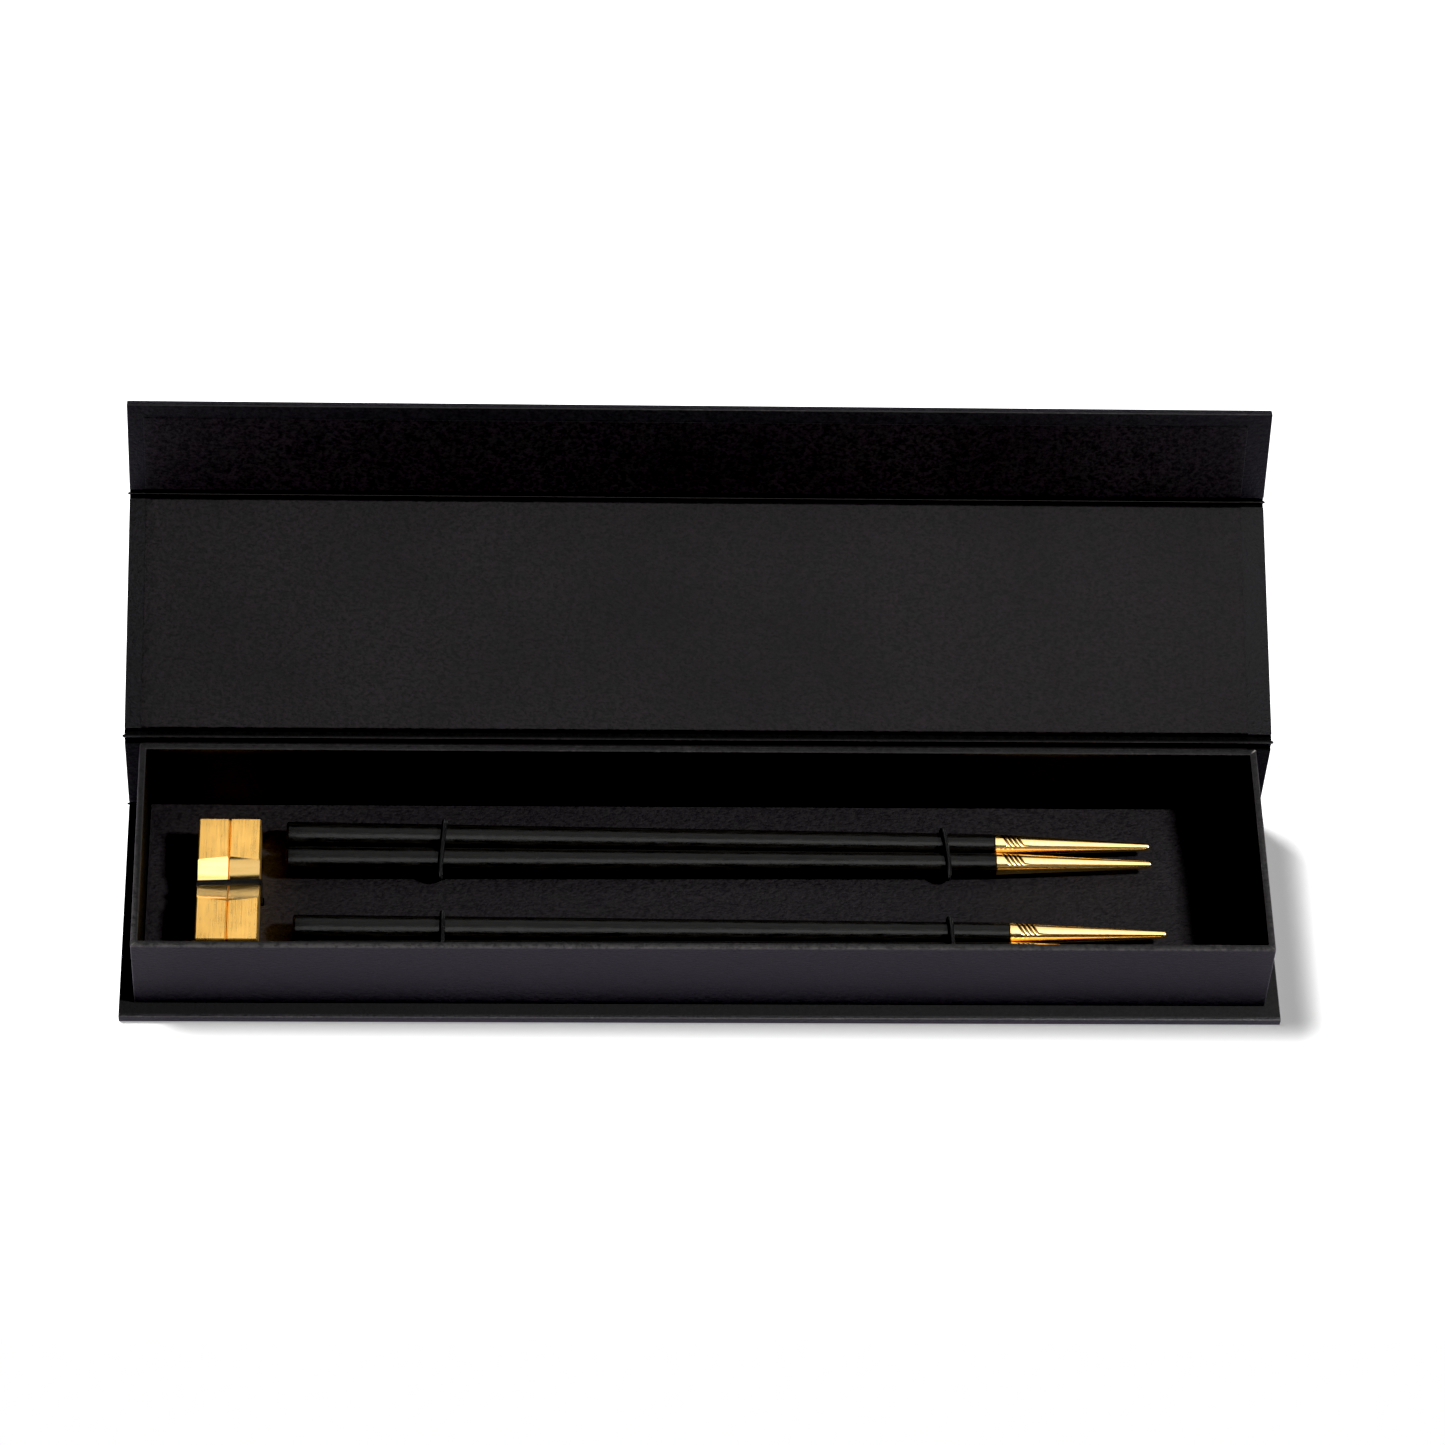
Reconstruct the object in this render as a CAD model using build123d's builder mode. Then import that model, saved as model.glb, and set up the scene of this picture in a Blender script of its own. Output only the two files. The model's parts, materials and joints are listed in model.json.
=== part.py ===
"""Book-style rigid gift box, open, with two pairs of chopsticks and two chopstick rests.

Millimetres. X runs along the box, Y from its front to its back, Z up. The origin is the
centre of the base panel's underside. The lid and flap are modelled standing open.
"""

from build123d import *
import math
import os

# ---- Covered panels: greyboard wrapped in paper ----
CASE_W = 304.0        # length of all four panels, along X
BASE_D = 68.6         # depth of the base panel
BOARD = 2.0           # greyboard of the panels
PAPER = 0.15          # covering paper and liners
TURN_IN = 12.0        # most paper folded over a panel's inner face
TURN_IN_SHARE = 0.33  # and the most of a narrow panel's width
LINER_INSET = 4.0     # bare margin round a liner
PANEL_T = BOARD + 2 * PAPER
FRONT = -BASE_D / 2   # front edge of the base panel
BACK = BASE_D / 2

# ---- Tray ----
TRAY_W, TRAY_H = 296.0, 27.3
TRAY_SETBACK = 4.5    # from the base panel's front edge to the tray's front wall
TRAY_D = BASE_D - TRAY_SETBACK
TRAY_BOARD = 1.5      # greyboard of the tray
TRAY_Y = BACK - TRAY_D / 2
WALL = TRAY_BOARD + 2 * PAPER
RIM_Z = PANEL_T + TRAY_H
FLOOR_Z = PANEL_T + TRAY_BOARD
RIM_DROP = 1.9        # how much lower the rim is at the front wall than at the back wall
STAY_LEG, STAY_H, STAY_T = 14.0, 22.0, 0.1      # paper corner stays

# ---- Paper hinges ----
HINGE_HALF_GAP = 1.8  # from a hinge axis to each board's edge
BEAD_R = 0.6          # ridge of pressed paper along a hinge axis
HINGE_PAPER = 0.4     # covering paper and liner pressed together
HINGE_OVERHANG = 0.6  # how far a hinge stands out past each side of the boards
SPINE_Y = BACK + PAPER + PANEL_T / 2
LID_AXIS_Y, LID_AXIS_Z = SPINE_Y, 31.1
SPINE_BOTTOM = 3.2
LID_L = 67.1          # from the lid's hinge axis to the flap's
FLAP_L = 28.5         # from the flap's hinge axis to its free edge
LID_OPEN = 158.0      # degrees from closed, as modelled
FLAP_FOLD = 51.0      # degrees out of the lid's plane, as modelled

# ---- Magnets ----
MAGNET_R, MAGNET_T, KEEPER_T = 4.0, 1.0, 0.5
MAGNET_X = 103.6
MAGNET_FROM_HINGE = 8.6

# ---- Insert card ----
CARD_T = 0.4
CARD_TOP = 5.5
CARD_CLEARANCE = 0.3
CARD_W = TRAY_W - 2 * WALL - 2 * CARD_CLEARANCE
CARD_D = TRAY_D - 2 * WALL - 2 * CARD_CLEARANCE
CORD_SLOT_W, CORD_SLOT_L = 1.6, 2.8

# ---- Chopsticks ----
STICK_L = 230.0
BUTT_R, JOIN_R, POINT_R = 3.85, 2.95, 0.95   # handle's end, where gold meets black, tip
TIP_L = 42.0          # gold part that shows
TENON_R, TENON_L = 1.5, 12.0
TENON_FIT = 0.02      # between the tenon and its socket
STICK_GAP = 0.3       # between the two sticks of a pair
STICK_LIFT = 0.25     # the loops hold the sticks just off the card
STICK_Z = CARD_TOP + STICK_LIFT + BUTT_R
BUTT_ROUND = 0.7      # rounding of the handle's end
POINT_ROUND = 0.76    # rounding of the gold point
TIP_BEVEL = 0.15
GROOVES, GROOVE_START, GROOVE_PITCH = 4, 2.6, 1.25   # from where gold meets black
GROOVE_W, GROOVE_DEPTH = 0.42, 0.35
GROOVE_SWING = 25.0   # degrees from straight up towards the back
GROOVE_LEAN = 15.0    # degrees off square to the stick
GROOVE_OFFSET = 1.39  # how far off centre the groove's round floor lies
HANDLE_L = STICK_L - TIP_L
TAPER = math.degrees(math.atan((BUTT_R - JOIN_R) / HANDLE_L))
# pair name: (X of the butts, Y of the pair's middle there and at the tips)
PAIRS = {
    "back": (-109.4, FRONT + 49.2, FRONT + 47.9),
    "front": (-107.1, FRONT + 18.9, FRONT + 19.3),
}

# ---- Elastic ----
CORD_R = 0.6
CORD_SLACK = 0.12     # between a loop and the sticks it holds
CORD_WRAP = 45.0      # degrees below level where a loop leaves the stick for the card
CORD_BEND = 1.1       # where a loop turns under the card
CORD_LOW_Z = FLOOR_Z + 0.65
LOOP_X = {"left": -68.1, "right": 65.4}

# ---- Rests ----
REST_W, REST_L, REST_H = 8.1, 39.2, 9.6
REST_GAP = 0.15       # between the two rests
REST_LEFT_X = -132.35
REST_Y = FRONT + 35.15
REST_Z = CARD_TOP + 0.1
REST_EDGE = 0.35      # chamfer round each face
SADDLE_R, SADDLE_DEPTH, SADDLE_TILT = 12.75, 1.85, 4.4
BAND_W, BAND_T = 2.0, 0.6
BAND_Y = REST_Y - 0.6
BAND_SLACK = 0.12     # between the band and the rests
BAND_CORNER = 0.3
BAND_LOW_Z = FLOOR_Z + 0.7
BAND_SLOT_W, BAND_SLOT_L = 1.1, 2.6


def save(part, name):
    """Labels a finished piece and writes it to its own file."""
    part.label = name
    export_step(part, f"parts/{name}.step")


def panel_planes():
    """The mid-plane of each panel: local Y leads away from the panel's lower hinge and
    the normal points out of its inner, lined face."""
    turn, fold = math.radians(LID_OPEN), math.radians(FLAP_FOLD)
    along = Vector(0, -math.cos(turn), math.sin(turn))
    inner = Vector(0, -math.sin(turn), -math.cos(turn))
    lid_axis = Vector(0, LID_AXIS_Y, LID_AXIS_Z)
    flap_axis = lid_axis + along * LID_L
    flap_inner = inner * math.cos(fold) - along * math.sin(fold)
    x = (1, 0, 0)
    return {
        "base": Plane((0, 0, PANEL_T / 2), x_dir=x, z_dir=(0, 0, 1)),
        "spine": Plane((0, SPINE_Y, SPINE_BOTTOM), x_dir=x, z_dir=(0, -1, 0)),
        "lid": Plane(lid_axis, x_dir=x, z_dir=inner),
        "flap": Plane(flap_axis, x_dir=x, z_dir=flap_inner),
    }


PLANES = panel_planes()
# panel name: (local Y of its near edge, local Y of its far edge)
PANELS = {
    "base": (-BASE_D / 2, BASE_D / 2),
    "spine": (0, LID_AXIS_Z - HINGE_HALF_GAP - SPINE_BOTTOM),
    "lid": (HINGE_HALF_GAP, LID_L - HINGE_HALF_GAP),
    "flap": (HINGE_HALF_GAP, FLAP_L),
}


def slab_on(name, margin, low, high):
    """A rectangle of a panel, set in from its edges, between two heights on its plane."""
    near, far = PANELS[name]
    plane = PLANES[name]
    with BuildPart() as slab:
        with BuildSketch(plane.offset(low)):
            with Locations((0, (near + far) / 2)):
                Rectangle(CASE_W - 2 * margin, far - near - 2 * margin)
        extrude(amount=high - low)
    return slab.part


def make_panel(name, liner):
    """Greyboard core, covering paper turned over its inner edges, and a liner."""
    board = slab_on(name, PAPER, -BOARD / 2, BOARD / 2)
    turn_in = min(TURN_IN, (PANELS[name][1] - PANELS[name][0]) * TURN_IN_SHARE)
    window = slab_on(name, turn_in, BOARD / 2, PANEL_T / 2)

    with BuildPart() as wrap:
        add(slab_on(name, 0, -PANEL_T / 2, PANEL_T / 2))
        add(board, mode=Mode.SUBTRACT)
        add(window, mode=Mode.SUBTRACT)
    save(wrap.part, f"{name}_wrap")

    if liner:
        with BuildPart() as lining:
            add(window)
            add(slab_on(name, LINER_INSET, PANEL_T / 2, PANEL_T / 2 + PAPER))
        save(lining.part, f"{name}_liner")
    return board


def make_hinge(name, lower, axis, upper):
    """A strip of pressed paper from one board's edge to the next, with a round ridge
    where it folds. The points are (Y, Z); the strip runs a little past the panels."""
    plane = Plane((-CASE_W / 2 - HINGE_OVERHANG, 0, 0), x_dir=(0, 1, 0), z_dir=(1, 0, 0))
    with BuildPart() as hinge:
        with BuildSketch(plane):
            for end in (lower, upper):
                run = Vector(*end) - Vector(*axis)
                middle = Vector(*axis) + run * 0.5
                slope = math.degrees(math.atan2(run.Y, run.X))
                with Locations((middle.X, middle.Y)):
                    Rectangle(run.length, HINGE_PAPER, rotation=slope)
            with Locations(axis):
                Circle(BEAD_R)
        extrude(amount=CASE_W + 2 * HINGE_OVERHANG)
    save(hinge.part, name)


def point_on(name, along):
    """(Y, Z) of a point on a panel's mid-plane, a distance along it from its hinge."""
    point = PLANES[name].from_local_coords(Vector(0, along, 0))
    return point.Y, point.Z


def discs(plane, r, thickness):
    """Two round discs, one each side of the middle, standing on a plane."""
    with BuildPart() as pair:
        with BuildSketch(plane):
            with Locations((-MAGNET_X, 0), (MAGNET_X, 0)):
                Circle(r)
        extrude(amount=thickness)
    return pair.part


# ==== Case panels, hinges and magnets ====
os.makedirs("parts", exist_ok=True)

save(make_panel("base", liner=False), "base_board")
save(make_panel("spine", liner=True), "spine_board")
save(make_panel("lid", liner=True), "lid_board")

magnet_plane = Plane(
    PLANES["flap"].from_local_coords(Vector(0, MAGNET_FROM_HINGE, BOARD / 2)),
    x_dir=(1, 0, 0),
    z_dir=PLANES["flap"].z_dir * -1,
)
magnets = discs(magnet_plane, MAGNET_R, MAGNET_T)
save(magnets, "flap_magnets")
with BuildPart() as flap_board:
    add(make_panel("flap", liner=True))
    add(magnets, mode=Mode.SUBTRACT)
save(flap_board.part, "flap_board")

make_hinge(
    "base_spine_hinge",
    (BACK, PANEL_T / 2),
    (SPINE_Y, PANEL_T / 2),
    (SPINE_Y, SPINE_BOTTOM),
)
make_hinge(
    "spine_lid_hinge",
    (SPINE_Y, LID_AXIS_Z - HINGE_HALF_GAP),
    (LID_AXIS_Y, LID_AXIS_Z),
    point_on("lid", HINGE_HALF_GAP),
)
make_hinge(
    "lid_flap_hinge",
    point_on("lid", LID_L - HINGE_HALF_GAP),
    point_on("flap", 0),
    point_on("flap", HINGE_HALF_GAP),
)

# ==== Tray ====
keeper_plane = Plane(
    (0, BACK - TRAY_D + PAPER, LID_AXIS_Z - MAGNET_FROM_HINGE),
    x_dir=(1, 0, 0),
    z_dir=(0, 1, 0),
)
keepers = discs(keeper_plane, MAGNET_R, KEEPER_T)
save(keepers, "magnet_keepers")

tray_floor = Plane.XY.offset(PANEL_T)


def above_rim(depth):
    """Everything above the sloping rim, or above a depth below it."""
    rim = Plane((0, BACK, RIM_Z - depth), x_dir=(1, 0, 0), z_dir=(0, -RIM_DROP, TRAY_D))
    with BuildPart() as cutter:
        with BuildSketch(rim):
            Rectangle(2 * TRAY_W, 4 * TRAY_D)
        extrude(amount=TRAY_H)
    return cutter.part


board_w, board_d = TRAY_W - 2 * PAPER, TRAY_D - 2 * PAPER
with BuildPart() as corner_stays:
    with BuildSketch(tray_floor):
        with Locations((0, TRAY_Y)):
            Rectangle(board_w, board_d)
            Rectangle(board_w - 2 * STAY_T, board_d - 2 * STAY_T, mode=Mode.SUBTRACT)
            Rectangle(board_w - 2 * STAY_LEG, board_d, mode=Mode.SUBTRACT)
            Rectangle(board_w, board_d - 2 * STAY_LEG, mode=Mode.SUBTRACT)
    extrude(amount=STAY_H)
save(corner_stays.part, "tray_corner_stays")

with BuildPart() as tray_board:
    with BuildSketch(tray_floor):
        with Locations((0, TRAY_Y)):
            Rectangle(board_w, board_d)
    extrude(amount=TRAY_H - PAPER)
    with BuildSketch(Plane.XY.offset(FLOOR_Z)):
        with Locations((0, TRAY_Y)):
            Rectangle(board_w - 2 * TRAY_BOARD, board_d - 2 * TRAY_BOARD)
    extrude(amount=TRAY_H, mode=Mode.SUBTRACT)
    for gap in (above_rim(PAPER), keepers, corner_stays.part):
        add(gap, mode=Mode.SUBTRACT)
save(tray_board.part, "tray_board")

with BuildPart() as tray_wrap:
    with BuildSketch(tray_floor):
        with Locations((0, TRAY_Y)):
            Rectangle(TRAY_W, TRAY_D)
            Rectangle(TRAY_W - 2 * WALL, TRAY_D - 2 * WALL, mode=Mode.SUBTRACT)
    extrude(amount=TRAY_H)
    for gap in (above_rim(0), tray_board.part, keepers, corner_stays.part):
        add(gap, mode=Mode.SUBTRACT)
save(tray_wrap.part, "tray_wrap")


# ==== Chopsticks ====
def stick_axis(pair, side):
    """The plane across a stick at its butt. Its normal runs down the stick. side is 1 for
    the stick nearer the back and -1 for the one nearer the front."""
    x, butt_y, tip_y = PAIRS[pair]
    heading = math.degrees(math.atan2(tip_y - butt_y, STICK_L)) - side * TAPER
    centre = (x, butt_y + side * (BUTT_R + STICK_GAP / 2), STICK_Z)
    cosine, sine = math.cos(math.radians(heading)), math.sin(math.radians(heading))
    return Plane(centre, x_dir=(-sine, cosine, 0), z_dir=(cosine, sine, 0))


def stick_radius(along):
    """The handle's radius at a distance from its butt."""
    return BUTT_R + (JOIN_R - BUTT_R) * along / HANDLE_L


def pair_line(pair, x):
    """Y of a pair's middle line at an X."""
    start, butt_y, tip_y = PAIRS[pair]
    return butt_y + (tip_y - butt_y) * (x - start) / STICK_L


def turned(plane, outline):
    """A solid turned about a plane's normal from (distance along it, radius) corners."""
    side = Plane(plane.origin, x_dir=plane.z_dir, z_dir=plane.y_dir * -1)
    with BuildPart() as solid:
        with BuildSketch(side):
            with BuildLine():
                Polyline(*outline, close=True)
            make_face()
        revolve(axis=Axis(plane.origin, plane.z_dir))
    return solid.part


def make_handle(name, plane):
    """Round black handle, with a domed butt and a socket for the tip's tenon."""
    outline = [(0, 0), (0, BUTT_R), (HANDLE_L, JOIN_R), (HANDLE_L, 0)]
    socket = plane.offset(HANDLE_L - TENON_L - TENON_FIT)
    with BuildPart() as handle:
        add(turned(plane, outline))
        butt_rim = handle.edges().filter_by(GeomType.CIRCLE).sort_by(Axis.X)[0]
        fillet(butt_rim, radius=BUTT_ROUND)
        with BuildSketch(socket):
            Circle(TENON_R + TENON_FIT)
        extrude(amount=TENON_L + 2 * TENON_FIT, mode=Mode.SUBTRACT)
    save(handle.part, name)


def groove_plane(plane, along):
    """Across the tip and leaning to one side, with local X towards the middle of the
    groove's arc, which lies on the stick's upper back."""
    back, up = plane.x_dir, plane.y_dir
    swing, lean = math.radians(GROOVE_SWING), math.radians(GROOVE_LEAN)
    middle = back * math.sin(swing) + up * math.cos(swing)
    forward = up * math.sin(swing) - back * math.cos(swing)
    return Plane(
        plane.from_local_coords(Vector(0, 0, along)),
        x_dir=middle,
        z_dir=plane.z_dir * math.cos(lean) - forward * math.sin(lean),
    )


def make_tip(name, plane):
    """Gold tip: a cone with a rounded point, a tenon and four slanted grip grooves."""
    outline = [
        (HANDLE_L - TENON_L, 0),
        (HANDLE_L - TENON_L, TENON_R),
        (HANDLE_L, TENON_R),
        (HANDLE_L, JOIN_R - TIP_BEVEL),
        (HANDLE_L + TIP_BEVEL, JOIN_R),
        (STICK_L, POINT_R),
        (STICK_L, 0),
    ]
    with BuildPart() as tip:
        add(turned(plane, outline))
        point_rim = tip.edges().filter_by(GeomType.CIRCLE).sort_by(Axis.X)[-1]
        fillet(point_rim, radius=POINT_ROUND)
        for n in range(GROOVES):
            along = GROOVE_START + n * GROOVE_PITCH
            radius = JOIN_R + (POINT_R - JOIN_R) * along / TIP_L
            # the cut is outside a larger circle set off to one side, so it fades out
            # at both ends of its arc
            with BuildSketch(groove_plane(plane, HANDLE_L + along)):
                Circle(2 * JOIN_R)
                with Locations((-GROOVE_OFFSET, 0)):
                    Circle(radius + GROOVE_OFFSET - GROOVE_DEPTH, mode=Mode.SUBTRACT)
            extrude(amount=GROOVE_W / 2, both=True, mode=Mode.SUBTRACT)
    save(tip.part, name)


for pair in PAIRS:
    for number, side in ((1, 1), (2, -1)):
        axis_plane = stick_axis(pair, side)
        make_handle(f"chopstick_{pair}_{number}_handle", axis_plane)
        make_tip(f"chopstick_{pair}_{number}_tip", axis_plane)


# ==== Elastic loops and the rests' band ====
def loop_y(pair, x, side, z):
    """Y at a height of the straight run on which a loop leaves a pair's outer side for
    the card: side is 1 for the back and -1 for the front. The run touches the loop's
    bend round the stick."""
    radius = stick_radius(x - PAIRS[pair][0])
    bend = radius + CORD_SLACK + CORD_R
    wrap = math.radians(CORD_WRAP)
    out = (bend + math.sin(wrap) * (z - STICK_Z)) / math.cos(wrap)
    return pair_line(pair, x) + side * (radius + STICK_GAP / 2 + out)


def make_loop(name, pair, x):
    """Round elastic cord: up through the card under a pair's front stick, tight round and
    over both sticks, down under the back one and back below the card."""
    bend = stick_radius(x - PAIRS[pair][0]) + CORD_SLACK + CORD_R
    top = STICK_Z + bend
    across = Plane((x, 0, 0), x_dir=(0, 1, 0), z_dir=(1, 0, 0))
    corners = [
        (loop_y(pair, x, side, z), z)
        for side, z in ((-1, CORD_LOW_Z), (-1, top), (1, top), (1, CORD_LOW_Z))
    ]
    start = Plane((x, pair_line(pair, x), CORD_LOW_Z), z_dir=(0, 1, 0))
    with BuildPart() as loop:
        with BuildLine(across):
            FilletPolyline(*corners, radius=[CORD_BEND, bend, bend, CORD_BEND], close=True)
        with BuildSketch(start):
            Circle(CORD_R)
        sweep()
    save(loop.part, name)


for pair in PAIRS:
    for end, x in LOOP_X.items():
        make_loop(f"loop_{pair}_{end}", pair, x)

band_in_w = 2 * REST_W + REST_GAP + 2 * BAND_SLACK
band_x = REST_LEFT_X + REST_W + REST_GAP / 2
saddle_rise = REST_W / 2 * math.tan(math.radians(SADDLE_TILT))
band_top = REST_Z + REST_H - SADDLE_DEPTH + saddle_rise + BAND_SLACK
band_in_h = band_top - BAND_LOW_Z
band_plane = Plane((band_x, BAND_Y, BAND_LOW_Z + band_in_h / 2), x_dir=(1, 0, 0), z_dir=(0, -1, 0))
with BuildPart() as rest_band:
    with BuildSketch(band_plane):
        RectangleRounded(band_in_w + 2 * BAND_T, band_in_h + 2 * BAND_T, BAND_CORNER + BAND_T)
        RectangleRounded(band_in_w, band_in_h, BAND_CORNER, mode=Mode.SUBTRACT)
    extrude(amount=BAND_W / 2, both=True)
save(rest_band.part, "rest_band")

# ==== Insert card ====
with BuildPart() as insert_card:
    with BuildSketch(Plane.XY.offset(FLOOR_Z)):
        with Locations((0, TRAY_Y)):
            Rectangle(CARD_W, CARD_D)
    extrude(amount=CARD_TOP - FLOOR_Z)
    with BuildSketch(Plane.XY.offset(FLOOR_Z)):
        with Locations((0, TRAY_Y)):
            Rectangle(CARD_W - 2 * CARD_T, CARD_D - 2 * CARD_T)
    extrude(amount=CARD_TOP - CARD_T - FLOOR_Z, mode=Mode.SUBTRACT)
    with BuildSketch(Plane.XY.offset(CARD_TOP)):
        for pair in PAIRS:
            for x in LOOP_X.values():
                for side in (-1, 1):
                    with Locations((x, loop_y(pair, x, side, CARD_TOP - CARD_T / 2))):
                        SlotOverall(CORD_SLOT_L, CORD_SLOT_W, rotation=90)
        for side in (-1, 1):
            with Locations((band_x + side * (band_in_w + BAND_T) / 2, BAND_Y)):
                Rectangle(BAND_SLOT_W, BAND_SLOT_L)
    extrude(amount=-2 * CARD_T, mode=Mode.SUBTRACT)
save(insert_card.part, "insert_card")


# ==== Chopstick rests ====
def make_rest(name, x, deep_side):
    """A bevelled bar with a round saddle across its top. The saddle leans, so it is
    deeper and wider on one long side: 1 for the right one, -1 for the left."""
    tilt = math.radians(SADDLE_TILT)
    saddle = Plane(
        (x, REST_Y, REST_Z + REST_H + SADDLE_R - SADDLE_DEPTH),
        z_dir=(math.cos(tilt), 0, -deep_side * math.sin(tilt)),
    )
    with BuildPart() as rest:
        with Locations((x, REST_Y, REST_Z)):
            Box(REST_W, REST_L, REST_H, align=(Align.CENTER, Align.CENTER, Align.MIN))
        chamfer(rest.edges(), REST_EDGE)
        with BuildSketch(saddle):
            Circle(SADDLE_R)
        extrude(amount=REST_W, both=True, mode=Mode.SUBTRACT)
    save(rest.part, name)


make_rest("rest_left", REST_LEFT_X + REST_W / 2, 1)
make_rest("rest_right", REST_LEFT_X + 1.5 * REST_W + REST_GAP, -1)
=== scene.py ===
"""Looks for the chopstick gift box: black paper over board, elastic loops, black and gold chopsticks.

Metres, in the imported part's own frame: X along the box, Y from its front to its back, Z up.
"""

import json
import math

import bmesh
import bpy
import numpy as np
from mathutils import Matrix, Vector, noise
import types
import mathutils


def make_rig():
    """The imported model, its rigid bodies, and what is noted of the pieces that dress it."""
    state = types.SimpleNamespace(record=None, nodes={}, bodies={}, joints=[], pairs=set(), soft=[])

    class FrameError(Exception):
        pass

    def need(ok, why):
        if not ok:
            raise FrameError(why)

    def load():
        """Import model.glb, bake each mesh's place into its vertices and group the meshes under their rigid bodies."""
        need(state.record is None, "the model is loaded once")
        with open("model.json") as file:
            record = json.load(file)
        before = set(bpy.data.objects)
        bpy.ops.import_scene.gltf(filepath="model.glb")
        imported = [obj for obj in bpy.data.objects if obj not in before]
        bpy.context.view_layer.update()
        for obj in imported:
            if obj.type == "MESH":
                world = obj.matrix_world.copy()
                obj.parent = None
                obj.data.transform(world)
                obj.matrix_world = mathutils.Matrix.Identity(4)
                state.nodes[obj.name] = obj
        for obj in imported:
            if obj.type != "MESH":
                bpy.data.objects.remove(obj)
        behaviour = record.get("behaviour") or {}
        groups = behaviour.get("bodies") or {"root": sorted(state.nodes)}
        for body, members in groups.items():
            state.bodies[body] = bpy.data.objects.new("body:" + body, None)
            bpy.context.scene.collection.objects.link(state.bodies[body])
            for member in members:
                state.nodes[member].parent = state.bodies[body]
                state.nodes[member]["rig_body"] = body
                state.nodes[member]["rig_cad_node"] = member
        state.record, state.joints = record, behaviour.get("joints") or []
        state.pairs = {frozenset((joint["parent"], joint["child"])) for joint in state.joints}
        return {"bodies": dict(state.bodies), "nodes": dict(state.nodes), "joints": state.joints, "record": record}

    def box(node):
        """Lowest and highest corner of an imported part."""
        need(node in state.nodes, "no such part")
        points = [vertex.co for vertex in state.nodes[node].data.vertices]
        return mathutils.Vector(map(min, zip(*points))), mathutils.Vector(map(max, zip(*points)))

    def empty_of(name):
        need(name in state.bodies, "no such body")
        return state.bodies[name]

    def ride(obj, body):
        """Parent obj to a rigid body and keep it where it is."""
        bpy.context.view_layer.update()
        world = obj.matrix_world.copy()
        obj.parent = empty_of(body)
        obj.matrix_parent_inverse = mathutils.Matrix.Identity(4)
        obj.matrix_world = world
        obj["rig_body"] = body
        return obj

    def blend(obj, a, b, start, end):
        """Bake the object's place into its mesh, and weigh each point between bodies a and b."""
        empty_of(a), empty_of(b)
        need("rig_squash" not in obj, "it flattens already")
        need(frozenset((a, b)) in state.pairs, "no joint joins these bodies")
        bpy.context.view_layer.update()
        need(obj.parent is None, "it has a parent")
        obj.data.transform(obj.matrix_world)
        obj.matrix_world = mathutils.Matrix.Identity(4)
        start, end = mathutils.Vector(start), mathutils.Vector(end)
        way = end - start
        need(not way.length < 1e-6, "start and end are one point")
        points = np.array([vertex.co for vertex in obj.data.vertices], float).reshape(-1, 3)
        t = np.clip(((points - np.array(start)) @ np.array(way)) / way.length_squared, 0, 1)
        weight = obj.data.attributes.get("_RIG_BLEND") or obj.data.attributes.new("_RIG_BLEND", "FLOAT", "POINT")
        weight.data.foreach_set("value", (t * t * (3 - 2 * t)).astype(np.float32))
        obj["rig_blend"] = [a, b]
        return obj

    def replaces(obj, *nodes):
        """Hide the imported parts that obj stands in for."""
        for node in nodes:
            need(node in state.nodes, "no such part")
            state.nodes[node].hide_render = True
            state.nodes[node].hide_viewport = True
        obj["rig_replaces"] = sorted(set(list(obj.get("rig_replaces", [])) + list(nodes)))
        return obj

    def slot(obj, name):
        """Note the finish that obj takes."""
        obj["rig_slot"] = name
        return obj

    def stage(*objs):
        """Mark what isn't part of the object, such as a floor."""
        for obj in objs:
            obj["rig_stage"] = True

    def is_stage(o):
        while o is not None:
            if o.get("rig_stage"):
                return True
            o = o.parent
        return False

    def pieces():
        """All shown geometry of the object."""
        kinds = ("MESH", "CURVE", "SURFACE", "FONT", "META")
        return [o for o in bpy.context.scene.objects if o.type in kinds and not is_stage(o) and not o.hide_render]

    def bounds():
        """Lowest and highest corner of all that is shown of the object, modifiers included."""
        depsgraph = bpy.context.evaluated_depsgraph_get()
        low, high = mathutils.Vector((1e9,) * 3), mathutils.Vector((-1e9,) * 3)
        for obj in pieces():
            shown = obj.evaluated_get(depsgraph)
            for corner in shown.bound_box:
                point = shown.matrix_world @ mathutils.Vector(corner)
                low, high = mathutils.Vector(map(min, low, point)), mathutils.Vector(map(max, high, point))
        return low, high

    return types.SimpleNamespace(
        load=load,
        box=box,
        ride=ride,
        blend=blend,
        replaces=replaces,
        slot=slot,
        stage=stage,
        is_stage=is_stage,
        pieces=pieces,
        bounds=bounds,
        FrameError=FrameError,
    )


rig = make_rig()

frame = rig.load()
cad_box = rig.bounds()

MM = 0.001
X_AXIS = Vector((1, 0, 0))

# ==== Sizes, from the frame ====
joints = {joint["name"]: joint for joint in frame["joints"]}
LID_AXIS = Vector(joints["lid_hinge"]["pos_m"])
FLAP_AXIS = Vector(joints["flap_hinge"]["pos_m"])
FLAP_FOLD = math.radians(joints["flap_hinge"]["range_deg"][1])

base_low, base_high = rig.box("base_wrap")
tray_low, tray_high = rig.box("tray_wrap")
spine_low, spine_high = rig.box("spine_wrap")
CASE_HALF_W = base_high.x
PANEL_T = base_high.z - base_low.z

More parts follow.
